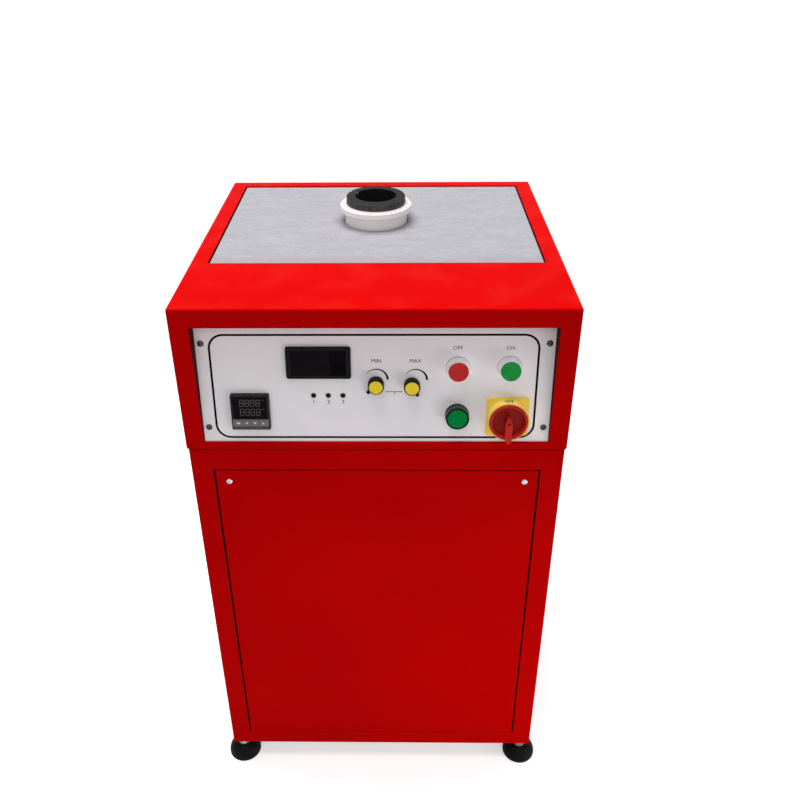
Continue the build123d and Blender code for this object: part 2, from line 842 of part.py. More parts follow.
# The crucible hangs by its lip on the sleeve. A V notch in the lip guides the pour.
body_edge = crucible_x + crucible_body_radius
lip_edge = crucible_x + crucible_lip_radius
mouth_edge = crucible_x + crucible_mouth_radius
notch_plane = Plane(
    origin=(crucible_x, crucible_y, crucible_top),
    x_dir=(-sin(radians(notch_angle)), cos(radians(notch_angle)), 0),
    z_dir=(cos(radians(notch_angle)), sin(radians(notch_angle)), 0),
)
with BuildPart() as crucible:
    with BuildSketch(Plane.XZ.offset(-crucible_y)):
        with BuildLine():
            Polyline(
                (crucible_x, crucible_bottom),
                (body_edge - crucible_foot_chamfer, crucible_bottom),
                (body_edge, crucible_bottom + crucible_foot_chamfer),
                (body_edge, lip_bottom),
                (lip_edge - crucible_lip_chamfer, lip_bottom),
                (lip_edge, lip_bottom + crucible_lip_chamfer),
                (lip_edge, crucible_top - crucible_lip_chamfer),
                (lip_edge - crucible_lip_chamfer, crucible_top),
                (mouth_edge, crucible_top),
                (mouth_edge, melt_floor + crucible_floor_fillet),
                (mouth_edge - crucible_floor_fillet, melt_floor),
                (crucible_x, melt_floor),
                close=True,
            )
        make_face()
    revolve(axis=Axis((crucible_x, crucible_y, 0), (0, 0, 1)))
    with BuildSketch(notch_plane):
        with BuildLine():
            Polyline(
                (-notch_width / 2, cut_past),
                (notch_width / 2, cut_past),
                (notch_width / 2, 0),
                (0, -notch_depth),
                (-notch_width / 2, 0),
                close=True,
            )
        make_face()
    extrude(amount=crucible_lip_radius + cut_past, mode=Mode.SUBTRACT)
save(crucible, "crucible")

# The white sleeve lines the coil and ends in a flange above the board, where the crucible's lip rests.
bore_edge = body_edge + crucible_gap
wall_edge = crucible_x + sleeve_radius
flange_edge = crucible_x + sleeve_flange_radius
flange_low = head_top + sleeve_flange_low
with BuildPart() as ceramic_sleeve:
    with BuildSketch(Plane.XZ.offset(-crucible_y)):
        with BuildLine():
            Polyline(
                (bore_edge, sleeve_bottom),
                (wall_edge, sleeve_bottom),
                (wall_edge, flange_low),
                (flange_edge - sleeve_flange_chamfer, flange_low),
                (flange_edge, flange_low + sleeve_flange_chamfer),
                (flange_edge, lip_bottom - sleeve_top_chamfer),
                (flange_edge - sleeve_top_chamfer, lip_bottom),
                (bore_edge, lip_bottom),
                close=True,
            )
        make_face()
    revolve(axis=Axis((crucible_x, crucible_y, 0), (0, 0, 1)))
save(ceramic_sleeve, "ceramic_sleeve")

# A firebrick on the deck holds the sleeve up.
with BuildPart() as crucible_pedestal:
    with BuildSketch(Plane.XY.offset(head_bottom)):
        with Locations((crucible_x, crucible_y)):
            Circle(pedestal_radius)
    extrude(amount=sleeve_bottom - head_bottom)
    chamfer(crucible_pedestal.faces().sort_by(Axis.Z)[-1].edges(), pedestal_chamfer)
save(crucible_pedestal, "crucible_pedestal")

# Ceramic wool fills the gap between the sleeve and the coil.
with BuildPart() as coil_insulation:
    with BuildSketch(Plane.XY.offset(sleeve_bottom)):
        with Locations((crucible_x, crucible_y)):
            Circle(sleeve_radius + insulation_gap + insulation_thickness)
            Circle(sleeve_radius + insulation_gap, mode=Mode.SUBTRACT)
    extrude(amount=board_bottom - sleeve_bottom)
save(coil_insulation, "coil_insulation")

# The coil is water-cooled copper tube. Half a turn over a whole number sends both leads to the back.
coil_start = Plane(origin=(crucible_x, crucible_y, coil_bottom), x_dir=(-1, 0, 0), z_dir=(0, 0, 1))
with BuildPart() as induction_coil:
    with BuildLine(coil_start) as coil_path:
        Helix(pitch=coil_pitch, height=coil_top - coil_bottom, radius=coil_radius)
    winding = coil_path.line
    with BuildSketch(Plane(origin=winding @ 0, z_dir=winding % 0)):
        Circle(coil_tube_radius)
        Circle(coil_tube_bore, mode=Mode.SUBTRACT)
    sweep(path=winding, is_frenet=True)
    with BuildSketch(Plane(origin=winding @ 0, z_dir=(winding % 0) * -1)):
        Circle(coil_tube_radius)
        Circle(coil_tube_bore, mode=Mode.SUBTRACT)
    extrude(amount=coil_lead)
    with BuildSketch(Plane(origin=winding @ 1, z_dir=winding % 1)):
        Circle(coil_tube_radius)
        Circle(coil_tube_bore, mode=Mode.SUBTRACT)
    extrude(amount=coil_lead)
save(induction_coil, "induction_coil")

# Two flat copper bars join the leads to the transformer's terminals.
bar_bottom = transformer_top + terminal_height
with BuildPart() as bus_bars:
    for side, lead_height in lead_ends.items():
        crossing = lead_height + side * lead_slope * bar_setback
        with BuildSketch(Plane.XZ.offset(-bar_y + bar_thickness / 2)):
            with Locations((crucible_x + side * coil_radius, (crossing + bar_end + bar_bottom) / 2)):
                Rectangle(bar_width, crossing + bar_end - bar_bottom)
            with Locations((crucible_x + side * coil_radius, crossing)):
                Circle(coil_tube_radius + bar_hole_gap, mode=Mode.SUBTRACT)
        extrude(amount=-bar_thickness)
save(bus_bars, "bus_bars")

# ---------------------------------------------------------------- power electronics

# The core has two windows, and the winding fills them round the middle limb.
window_width = (core_width - 3 * core_limb) / 2
window_height = core_height - 2 * core_limb
core_middle = base_top + core_height / 2
with BuildPart() as transformer_core:
    with BuildSketch(Plane.XZ.offset(-bar_y + core_depth / 2)):
        with Locations((crucible_x, core_middle)):
            Rectangle(core_width, core_height)
            with GridLocations(window_width + core_limb, 1, 2, 1):
                Rectangle(window_width, window_height, mode=Mode.SUBTRACT)
    extrude(amount=-core_depth)
    for side in lead_ends:
        with BuildSketch(Plane.XY.offset(transformer_top)):
            with Locations((crucible_x + side * coil_radius, bar_y)):
                Rectangle(bar_width, terminal_thickness)
        extrude(amount=terminal_height)
save(transformer_core, "transformer_core")

with BuildPart() as transformer_winding:
    with BuildSketch(Plane.XY.offset(core_middle - window_height / 2 + winding_gap)):
        with Locations((crucible_x, bar_y)):
            RectangleRounded(
                core_limb + 2 * winding_gap + 2 * winding_thickness,
                core_depth + 2 * winding_gap + 2 * winding_thickness,
                winding_thickness,
            )
            Rectangle(core_limb + 2 * winding_gap, core_depth + 2 * winding_gap, mode=Mode.SUBTRACT)
    extrude(amount=window_height - 2 * winding_gap)
save(transformer_winding, "transformer_winding")

# Two capacitors smooth the mains, and a larger block tunes the coil.
with BuildPart() as filter_capacitors:
    with Locations((capacitor_x, cabinet_front + capacitor_setback)):
        with GridLocations(capacitor_spacing, capacitor_spacing, 2, 1):
            with Locations((0, 0, base_top + capacitor_height / 2)):
                Cylinder(capacitor_radius, capacitor_height)
    chamfer(filter_capacitors.edges().group_by(Axis.Z)[-1], capacitor_chamfer)
    with Locations((capacitor_x, cabinet_front + capacitor_setback, base_top + capacitor_height)):
        with GridLocations(capacitor_spacing, capacitor_radius, 2, 2):
            Cylinder(
                capacitor_stud_radius,
                capacitor_stud_height,
                align=(Align.CENTER, Align.CENTER, Align.MIN),
            )
save(filter_capacitors, "filter_capacitors")

with BuildPart() as tank_capacitor:
    with BuildSketch(Plane.XY.offset(base_top)):
        with Locations((crucible_x, cabinet_front + tank_setback)):
            RectangleRounded(tank_width, tank_depth, tank_corner)
    extrude(amount=tank_height)
    with BuildSketch(Plane.XY.offset(base_top + tank_height)):
        with Locations((crucible_x, cabinet_front + tank_setback)):
            with GridLocations(tank_width / 2, 1, 2, 1):
                Circle(tank_terminal_radius)
    extrude(amount=terminal_height)
save(tank_capacitor, "tank_capacitor")

# The heat sink stands along the left wall with its fins towards that wall.
sink_face = Plane(origin=(heat_sink_x, middle_y, base_top), x_dir=(0, 1, 0), z_dir=(1, 0, 0))
with BuildPart() as heat_sink:
    with BuildSketch(sink_face):
        with Locations((0, heat_sink_height / 2)):
            Rectangle(heat_sink_length, heat_sink_height)
    extrude(amount=heat_sink_base)
    with BuildSketch(sink_face):
        with Locations((0, heat_sink_height / 2)):
            with GridLocations(
                (heat_sink_length - heat_sink_fin_sheet) / (heat_sink_fin_count - 1),
                1,
                heat_sink_fin_count,
                1,
            ):
                Rectangle(heat_sink_fin_sheet, heat_sink_height)
    extrude(amount=-heat_sink_fin)
save(heat_sink, "heat_sink")

# Two power modules switch the coil's current, each with three terminals.
with BuildPart() as power_modules:
    with BuildSketch(sink_face.offset(heat_sink_base)):
        with Locations((0, heat_sink_height / 2)):
            with GridLocations(module_spacing, 1, 2, 1):
                Rectangle(module_width, module_height)
    extrude(amount=module_depth)
    with BuildSketch(sink_face.offset(heat_sink_base + module_depth)):
        with Locations((0, heat_sink_height / 2)):
            with GridLocations(module_spacing, 1, 2, 1):
                with GridLocations(1, module_terminal_pitch, 1, 3):
                    Rectangle(module_terminal_width, module_terminal_height)
    extrude(amount=module_terminal_rise)
save(power_modules, "power_modules")

# A folded plate along the right wall carries the circuit board on four spacers.
plate_face = Plane(origin=(plate_x, middle_y, base_top), x_dir=(0, -1, 0), z_dir=(-1, 0, 0))
with BuildPart() as component_plate:
    with BuildSketch(plate_face):
        with Locations((0, plate_height / 2)):
            Rectangle(plate_length, plate_height)
    extrude(amount=-sheet)
    with BuildSketch(Plane.XY.offset(base_top)):
        with Locations((plate_x - plate_foot / 2, middle_y)):
            Rectangle(plate_foot, plate_length)
    extrude(amount=sheet)
    with BuildSketch(plate_face):
        with Locations((0, plate_height / 2)):
            with GridLocations(circuit_length - 2 * spacer_inset, circuit_height - 2 * spacer_inset, 2, 2):
                Circle(spacer_radius)
    extrude(amount=board_standoff)
save(component_plate, "component_plate")

with BuildPart() as control_board:
    with BuildSketch(plate_face.offset(board_standoff)):
        with Locations((0, plate_height / 2)):
            Rectangle(circuit_length, circuit_height)
    extrude(amount=circuit_sheet)
    with BuildSketch(plate_face.offset(board_standoff + circuit_sheet)):
        with Locations((0, plate_height / 2)):
            with GridLocations(chip_column_pitch, chip_row_pitch, chip_columns, chip_rows):
                Rectangle(chip_length, chip_width)
    extrude(amount=chip_rise)
save(control_board, "control_board")

# ---------------------------------------------------------------- cooling

spigot_z = cabinet_bottom + spigot_height
spigot_inner_end = cabinet_rear - spigot_nut_height - spigot_inner_length

# Each hose runs back from a coil lead, down through the deck and back again to a spigot.
with BuildPart() as coolant_hoses:
    for side, lead_height in lead_ends.items():
        x = crucible_x + side * coil_radius
        lead_end = lead_height + side * lead_slope * coil_lead
        hose_start = Vector(x, crucible_y + coil_lead - hose_grip, lead_end)
        with BuildLine() as hose_path:
            FilletPolyline(
                hose_start,
                (x, crucible_y + hose_setback, lead_end),
                (x, crucible_y + hose_setback, spigot_z),
                (x, spigot_inner_end + hose_grip, spigot_z),
                radius=hose_bend,
            )
        with BuildSketch(Plane(origin=hose_start, z_dir=(0, 1, 0))):
            Circle(hose_radius)
            Circle(hose_bore, mode=Mode.SUBTRACT)
        sweep(path=hose_path.line)
save(coolant_hoses, "coolant_hoses")

# Each spigot is clamped through the rear panel between two nuts, with a tail for a hose on both sides.
with BuildPart() as water_spigots:
    for side in lead_ends:
        with BuildSketch(rear_face.offset(sheet)):
            with Locations((-crucible_x - side * coil_radius, spigot_z)):
                RegularPolygon(spigot_nut_width / 2, 6, major_radius=False)
        extrude(amount=spigot_nut_height)
        with BuildSketch(rear_face.offset(sheet + spigot_nut_height)):
            with Locations((-crucible_x - side * coil_radius, spigot_z)):
                Circle(spigot_tail_radius)
        extrude(amount=spigot_tail_length)
        with BuildSketch(rear_face.offset(-spigot_nut_height)):
            with Locations((-crucible_x - side * coil_radius, spigot_z)):
                Circle(spigot_thread_radius - sheet_gap)
        extrude(amount=spigot_nut_height + sheet)
        with BuildSketch(rear_face):
            with Locations((-crucible_x - side * coil_radius, spigot_z)):
                RegularPolygon(spigot_nut_width / 2, 6, major_radius=False)
        extrude(amount=-spigot_nut_height)
        with BuildSketch(rear_face.offset(-spigot_nut_height)):
            with Locations((-crucible_x - side * coil_radius, spigot_z)):
                Circle(spigot_inner_radius)
        extrude(amount=-spigot_inner_length)
        with BuildSketch(rear_face.offset(-spigot_nut_height - spigot_inner_length)):
            with Locations((-crucible_x - side * coil_radius, spigot_z)):
                Circle(spigot_bore)
        extrude(
            amount=2 * spigot_nut_height + spigot_inner_length + sheet + spigot_tail_length,
            mode=Mode.SUBTRACT,
        )
    tail_ends = water_spigots.edges().group_by(Axis.Y)[-1]
    chamfer(tail_ends.filter_by(lambda edge: edge.radius > spigot_bore), spigot_chamfer)
save(water_spigots, "water_spigots")

# The mains cable enters through a gland with a nut on each side of the rear panel.
with BuildPart() as cable_gland:
    with BuildSketch(rear_face.offset(sheet)):
        with Locations((-gland_x, cabinet_bottom + gland_height)):
            RegularPolygon(gland_nut_width / 2, 6, major_radius=False)
    extrude(amount=gland_nut_height)
    with BuildSketch(rear_face.offset(sheet + gland_nut_height)):
        with Locations((-gland_x, cabinet_bottom + gland_height)):
            Circle(gland_cap_radius)
    extrude(amount=gland_cap_height)
    fillet(cable_gland.faces().sort_by(Axis.Y)[-1].edges(), gland_cap_fillet)
    with BuildSketch(rear_face.offset(-gland_nut_height)):
        with Locations((-gland_x, cabinet_bottom + gland_height)):
            Circle(gland_thread_radius - sheet_gap)
    extrude(amount=gland_nut_height + sheet)
    with BuildSketch(rear_face):
        with Locations((-gland_x, cabinet_bottom + gland_height)):
            RegularPolygon(gland_nut_width / 2, 6, major_radius=False)
    extrude(amount=-gland_nut_height)
    with BuildSketch(rear_face.offset(-gland_nut_height)):
        with Locations((-gland_x, cabinet_bottom + gland_height)):
            Circle(gland_bore)
    extrude(amount=2 * gland_nut_height + sheet + gland_cap_height, mode=Mode.SUBTRACT)
save(cable_gland, "cable_gland")

# The fan's motor hub stands on four struts at the inner face of its frame, and the rotor turns on its axle.
fan_z = cabinet_bottom + fan_height
fan_face = Plane(origin=(fan_x, cabinet_rear, fan_z), x_dir=(-1, 0, 0), z_dir=(0, 1, 0))
fan_hole_spacing = fan_size - 2 * fan_hole_inset
with BuildPart() as fan_frame:
    with BuildSketch(fan_face):
        RectangleRounded(fan_size, fan_size, fan_hole_inset)
        Circle(fan_bore_radius, mode=Mode.SUBTRACT)
        with GridLocations(fan_hole_spacing, fan_hole_spacing, 2, 2):
            Circle(screw_hole_radius, mode=Mode.SUBTRACT)
    extrude(amount=-fan_thickness)
    with BuildSketch(fan_face.offset(-fan_thickness)):
        Circle(fan_hub_radius)
        Rectangle(2 * (fan_bore_radius + fan_strut_grip), fan_strut)
        Rectangle(fan_strut, 2 * (fan_bore_radius + fan_strut_grip))
    extrude(amount=fan_strut)
    with BuildSketch(fan_face.offset(fan_strut - fan_thickness)):
        Circle(fan_axle_radius)
    extrude(amount=fan_motor_height)
save(fan_frame, "fan_frame")

# Each blade is a flat strip set at an angle, cut to length so that it stays inside the hub's height.
rotor_low = fan_strut + fan_end_gap - fan_thickness
rotor_height = fan_thickness - fan_strut - fan_end_gap - fan_mouth_gap
blade_root_radius = fan_hub_radius - fan_blade_grip
blade_span = fan_bore_radius - fan_tip_gap - blade_root_radius
blade_slope = radians(fan_blade_angle)
blade_rise = rotor_height - 2 * fan_blade_margin - fan_blade_sheet * cos(blade_slope)
blade_chord = blade_rise / sin(blade_slope)
with BuildPart() as fan_rotor:
    with BuildSketch(fan_face.offset(rotor_low)):
        Circle(fan_hub_radius)
    extrude(amount=rotor_height)
    fillet(fan_rotor.faces().sort_by(Axis.Y)[-1].edges(), fan_hub_fillet)
    with BuildSketch(fan_face.offset(rotor_low)):
        Circle(fan_axle_radius + running_gap)
    extrude(amount=fan_motor_height - fan_end_gap + fan_axle_gap, mode=Mode.SUBTRACT)
    for blade in range(fan_blade_count):
        turn = blade * 360 / fan_blade_count
        spoke = turned(fan_face.offset(rotor_low + rotor_height / 2), turn)
        blade_root = Plane(
            origin=spoke.from_local_coords(Vector(blade_root_radius, 0, 0)),
            x_dir=spoke.y_dir,
            z_dir=spoke.x_dir,
        )
        with BuildSketch(turned(blade_root, fan_blade_angle)):
            Rectangle(blade_chord, fan_blade_sheet)
        extrude(amount=blade_span)
save(fan_rotor, "fan_rotor")

# The guard is a flat grille. Its rings are laid from the outermost inwards, so that no ring's bore
# clears away the rings inside it.
guard_spoke_length = fan_hole_spacing * sqrt(2)
with BuildPart() as fan_guard:
    with BuildSketch(fan_face.offset(sheet)):
        for ring in range(guard_ring_count, 0, -1):
            middle_radius = fan_bore_radius * ring / guard_ring_count
            Circle(middle_radius + guard_wire / 2)
            Circle(middle_radius - guard_wire / 2, mode=Mode.SUBTRACT)
        for slant in (-45, 45):
            Rectangle(guard_spoke_length, guard_wire, rotation=slant)
        with GridLocations(fan_hole_spacing, fan_hole_spacing, 2, 2):
            Circle(guard_lug_radius)
        with GridLocations(fan_hole_spacing, fan_hole_spacing, 2, 2):
            Circle(screw_hole_radius, mode=Mode.SUBTRACT)
    extrude(amount=guard_wire)
save(fan_guard, "fan_guard")

# ---------------------------------------------------------------- control panel

controller_cutout = controller_body_size + 2 * panel_cutout_gap
# The panel is one flat sheet with a cut-out for each control, screwed to the pocket's ledge.
with BuildPart() as control_panel:
    with BuildSketch(panel_face):
        with Locations((0, panel_middle)):
            Rectangle(panel_width, panel_length)
    extrude(amount=-panel_sheet)
    with BuildSketch(panel_face):
        with Locations(meter_place):
            Rectangle(meter_body_width + 2 * panel_cutout_gap, meter_body_height + 2 * panel_cutout_gap)
        with Locations(controller_place):
            Rectangle(controller_cutout, controller_cutout)
        with Locations(min_knob_place, max_knob_place):
            Circle(pot_bush_radius + panel_hole_gap)
        with Locations(*alarm_places):
            Circle(alarm_radius + panel_hole_gap)
        with Locations(stop_place, start_place, pilot_place):
            Circle(button_hole_radius)
        with Locations(isolator_place):
            Circle(isolator_bush_radius + panel_cutout_gap)
        for up in (panel_screw_low, panel_screw_high):
            with Locations((-panel_screw_x, up), (panel_screw_x, up)):
                Circle(screw_hole_radius)
    extrude(amount=-panel_sheet, mode=Mode.SUBTRACT)
save(control_panel, "control_panel")

with BuildPart() as panel_meter:
    with BuildSketch(on_panel(meter_place)):
        RectangleRounded(meter_width, meter_height, meter_corner)
    extrude(amount=meter_out)
    fillet(panel_meter.faces().sort_by(Axis.Y)[0].edges(), meter_edge_radius)
    with BuildSketch(on_panel(meter_place)):
        Rectangle(meter_body_width, meter_body_height)
    extrude(amount=-meter_body_depth)
    with BuildSketch(on_panel(meter_place, meter_out)):
        Rectangle(meter_window_width, meter_window_height)
    extrude(amount=-window_sheet - window_sink, mode=Mode.SUBTRACT)
save(panel_meter, "panel_meter")

with BuildPart() as meter_window:
    with BuildSketch(on_panel(meter_place, meter_out - window_sink)):
        Rectangle(meter_window_width - 2 * window_gap, meter_window_height - 2 * window_gap)
    extrude(amount=-window_sheet)
save(meter_window, "meter_window")

key_floor = controller_out + key_stand - key_depth - key_travel - key_floor_gap
key_places = [
    moved_on_panel(controller_place, (index - (len(key_names) - 1) / 2) * key_pitch, key_up)
    for index in range(len(key_names))
]
window_place = moved_on_panel(controller_place, 0, controller_window_up)
with BuildPart() as temperature_controller:
    with BuildSketch(on_panel(controller_place)):
        RectangleRounded(controller_size, controller_size, controller_corner)
    extrude(amount=controller_out)
    chamfer(temperature_controller.faces().sort_by(Axis.Y)[0].edges(), controller_chamfer)
    with BuildSketch(on_panel(controller_place)):
        Rectangle(controller_body_size, controller_body_size)
    extrude(amount=-controller_body_depth)
    with BuildSketch(on_panel(window_place, controller_out)):
        Rectangle(controller_window_width, controller_window_height)
    extrude(amount=-window_sheet - window_sink, mode=Mode.SUBTRACT)
    for place in key_places:
        with BuildSketch(on_panel(place, controller_out)):
            Rectangle(key_width + 2 * key_gap, key_height + 2 * key_gap)
        extrude(amount=key_floor - controller_out, mode=Mode.SUBTRACT)
save(temperature_controller, "temperature_controller")

with BuildPart() as controller_window:
    with BuildSketch(on_panel(window_place, controller_out - window_sink)):
        Rectangle(controller_window_width - 2 * window_gap, controller_window_height - 2 * window_gap)
    extrude(amount=-window_sheet)
save(controller_window, "controller_window")

for name, place in zip(key_names, key_places):
    with BuildPart() as key:
        with BuildSketch(on_panel(place, controller_out + key_stand)):
            Rectangle(key_width, key_height)
        extrude(amount=-key_depth)
        fillet(key.faces().sort_by(Axis.Y)[0].edges(), key_fillet)
    save(key, name)

# Each potentiometer's shaft is in one piece with its knob and turns in the bush.
with BuildPart() as potentiometers:
    for place in (min_knob_place, max_knob_place):
        with BuildSketch(on_panel(place, -panel_sheet)):
            Circle(pot_body_radius)
        extrude(amount=-pot_body_depth)
        with BuildSketch(on_panel(place, -panel_sheet)):
            Circle(pot_bush_radius)
        extrude(amount=panel_sheet + pot_bush_out)
        with BuildSketch(on_panel(place, pot_bush_out)):
            Circle(pot_shaft_radius + running_gap)
        extrude(amount=-pot_shaft_depth - pot_bush_out, mode=Mode.SUBTRACT)
save(potentiometers, "potentiometers")


def make_knob(place, pointer_angle, name):
    """A fluted knob with a pointer at its skirt, its shaft, and the round cap pressed into its top."""
    pointer_plane = turned(on_panel(place, knob_stand), pointer_angle)
    with BuildPart() as knob:
        with BuildSketch(on_panel(place, knob_stand)):
            Circle(knob_radius)
        extrude(amount=knob_height - knob_stand)
        chamfer(knob.faces().sort_by(Axis.Y)[0].edges(), knob_chamfer)
        with BuildSketch(on_panel(place, knob_stand)):
            with PolarLocations(knob_radius + knob_flute_out, knob_flute_count):
                Circle(knob_flute_radius)
        extrude(amount=knob_height - knob_stand, mode=Mode.SUBTRACT)
        with BuildSketch(pointer_plane):
            with Locations((pointer_reach / 2, 0)):
                Rectangle(pointer_reach, pointer_width)
        extrude(amount=pointer_height)
        with BuildSketch(on_panel(place, knob_stand)):
            Circle(pot_shaft_radius)
        extrude(amount=pot_shaft_end_gap - pot_shaft_depth - knob_stand)
        with BuildSketch(on_panel(place, knob_height)):
            Circle(knob_cap_radius)
        extrude(amount=knob_cap_rise - knob_cap_sheet, mode=Mode.SUBTRACT)
    save(knob, name)
    with BuildPart() as cap:
        with BuildSketch(on_panel(place, knob_height + knob_cap_rise)):
            Circle(knob_cap_radius - press_gap)
        extrude(amount=-knob_cap_sheet)
        fillet(cap.faces().sort_by(Axis.Y)[0].edges(), knob_cap_fillet)
    save(cap, f"{name}_cap")


make_knob(min_knob_place, min_knob_pointer, "min_power_knob")
make_knob(max_knob_place, max_knob_pointer, "max_power_knob")

# Three warning lamps, each a domed pin through the panel with a thin rim.
alarm_dome_radius = alarm_dome - alarm_rim_height - alarm_dome_step
with BuildPart() as alarm_lamps:
    for place in alarm_places:
        with BuildSketch(on_panel(place)):
            Circle(alarm_rim_radius)
        extrude(amount=alarm_rim_height)
        with BuildSketch(on_panel(place, -alarm_depth)):
            Circle(alarm_radius)
        extrude(amount=alarm_depth + alarm_dome)
        fillet(alarm_lamps.faces(Select.LAST).sort_by(Axis.Y)[0].edges(), alarm_dome_radius)
save(alarm_lamps, "alarm_lamps")

# The bezels clamp through the panel with a nut behind it, and each button slides inside its bezel.
with BuildPart() as button_bezels:
    for place in (stop_place, start_place):
        with BuildSketch(on_panel(place)):
            Circle(button_bezel_radius)
        extrude(amount=button_bezel_edge)
        with BuildSketch(on_panel(place, button_bezel_edge)):
            Circle(button_bezel_radius)
        with BuildSketch(on_panel(place, button_bezel_height)):
            Circle(button_bezel_top_radius)
        loft()
        with BuildSketch(on_panel(place)):
            Circle(button_barrel_radius)
        extrude(amount=-button_barrel_depth)
        with BuildSketch(on_panel(place, -panel_sheet)):
            Circle(button_nut_radius)
        extrude(amount=-button_nut_height)
        with BuildSketch(on_panel(place, button_floor)):
            Circle(button_cap_radius + button_gap)
        extrude(amount=button_bezel_height, mode=Mode.SUBTRACT)
        with BuildSketch(on_panel(place, button_bezel_height)):
            Circle(button_stem_radius + button_gap)
        extrude(amount=-button_bezel_height - button_barrel_depth, mode=Mode.SUBTRACT)
save(button_bezels, "button_bezels")

with BuildPart() as button_contact_blocks:
    for place in (stop_place, start_place):
        with BuildSketch(on_panel(place, -button_barrel_depth)):
            Rectangle(contact_size, contact_size)
        extrude(amount=-contact_depth)
save(button_contact_blocks, "button_contact_blocks")

# A pressed button's stem stops just short of its contact block.
stem_end = button_travel + button_stem_gap - button_barrel_depth
for place, name in ((stop_place, "stop_button"), (start_place, "start_button")):
    with BuildPart() as button:
        with BuildSketch(on_panel(place, button_cap_out)):
            Circle(button_cap_radius)
        extrude(amount=-button_cap_height)
        fillet(button.faces().sort_by(Axis.Y)[0].edges(), button_cap_fillet)
        with BuildSketch(on_panel(place, button_cap_out - button_cap_height)):
            Circle(button_stem_radius)
        extrude(amount=stem_end - button_cap_out + button_cap_height)
    save(button, name)

with BuildPart() as pilot_lamp_housing:
    with BuildSketch(on_panel(pilot_place)):
        Circle(pilot_base_radius)
    extrude(amount=pilot_base_height)
    with BuildSketch(on_panel(pilot_place, pilot_base_height)):
        Circle(pilot_base_radius - pilot_base_step)
    with BuildSketch(on_panel(pilot_place, pilot_out)):
        Circle(pilot_front_radius)
    loft()
    with BuildSketch(on_panel(pilot_place)):
        Circle(button_barrel_radius)
    extrude(amount=-pilot_body_depth)
    with BuildSketch(on_panel(pilot_place, -panel_sheet)):
        Circle(button_nut_radius)
    extrude(amount=-button_nut_height)
    with BuildSketch(on_panel(pilot_place, pilot_out)):
        Circle(pilot_lens_radius)
    extrude(amount=-pilot_lens_depth, mode=Mode.SUBTRACT)
save(pilot_lamp_housing, "pilot_lamp_housing")

with BuildPart() as pilot_lamp_lens:
    with BuildSketch(on_panel(pilot_place, pilot_out - pilot_lens_depth)):
        Circle(pilot_lens_radius - press_gap)
    extrude(amount=pilot_lens_depth + pilot_lens_rise)
    fillet(pilot_lamp_lens.faces().sort_by(Axis.Y)[0].edges(), pilot_lens_fillet)
save(pilot_lamp_lens, "pilot_lamp_lens")

# ---------------------------------------------------------------- main switch

# The yellow collar is a well that the knob sits in, so only the knob's rim and handle stand out of it.
with BuildPart() as isolator_plate:
    with BuildSketch(on_panel(isolator_place)):
        RectangleRounded(isolator_plate_size, isolator_plate_size, isolator_plate_corner)
    extrude(amount=isolator_plate_sheet)
    fillet(isolator_plate.faces().sort_by(Axis.Y)[0].edges(), isolator_plate_fillet)
    with BuildSketch(on_panel(isolator_place, isolator_plate_sheet)):
        Circle(isolator_collar_radius)
    with BuildSketch(on_panel(isolator_place, isolator_collar_out)):
        Circle(isolator_collar_top_radius)
    loft()
    with BuildSketch(on_panel(isolator_place, isolator_well_floor)):
        Circle(isolator_knob_radius + isolator_knob_gap)
    extrude(amount=isolator_collar_out - isolator_well_floor, mode=Mode.SUBTRACT)
    with BuildSketch(on_panel(isolator_place)):
        Circle(isolator_collar_bore)
    extrude(amount=isolator_well_floor, mode=Mode.SUBTRACT)
save(isolator_plate, "isolator_plate")

# The knob is a dish with a pointed handle across it, on a boss and a shaft that turn in the switch. The
# handle starts at the dish's floor, and its long end passes over the collar.
dish_floor = isolator_knob_out - isolator_dish_depth
knob_low = isolator_well_floor + isolator_knob_gap
arm_low = isolator_collar_out + isolator_knob_gap
handle_shoulder = isolator_handle_width / 2
handle_outline = [
    (0, isolator_handle_top),
    (handle_shoulder, isolator_handle_top - isolator_handle_point),
    (handle_shoulder, -isolator_handle_bottom + isolator_handle_tail),
    (handle_shoulder / 2, -isolator_handle_bottom),
    (-handle_shoulder / 2, -isolator_handle_bottom),
    (-handle_shoulder, -isolator_handle_bottom + isolator_handle_tail),
    (-handle_shoulder, isolator_handle_top - isolator_handle_point),
]
with BuildPart() as isolator_knob:
    with BuildSketch(on_panel(isolator_place, knob_low)):
        Circle(isolator_knob_radius)
    extrude(amount=isolator_knob_out - knob_low)
    fillet(isolator_knob.faces().sort_by(Axis.Y)[0].edges(), isolator_knob_fillet)
    with BuildSketch(on_panel(isolator_place, isolator_knob_out)):
        Circle(isolator_dish_radius)
    extrude(amount=-isolator_dish_depth, taper=isolator_dish_taper, mode=Mode.SUBTRACT)
    with BuildSketch(on_panel(isolator_place, dish_floor)):
        with BuildLine():
            Polyline(*handle_outline, close=True)
        make_face()
        Circle(isolator_dish_radius, mode=Mode.INTERSECT)
    extrude(amount=arm_low - dish_floor)
    with BuildSketch(on_panel(isolator_place, arm_low)):
        with BuildLine():
            Polyline(*handle_outline, close=True)
        make_face()
    extrude(amount=isolator_handle_out - arm_low)
    with BuildSketch(on_panel(isolator_place, isolator_handle_out)):
        Circle(isolator_hole_radius)
    extrude(amount=-isolator_hole_depth, mode=Mode.SUBTRACT)
    with BuildSketch(on_panel(isolator_place, knob_low)):
        Circle(isolator_boss_radius)
    extrude(amount=-knob_low + isolator_plate_sheet)
    with BuildSketch(on_panel(isolator_place, isolator_plate_sheet)):
        Circle(isolator_shaft_radius)
    extrude(amount=-isolator_plate_sheet - isolator_shaft_depth)
save(isolator_knob, "isolator_knob")

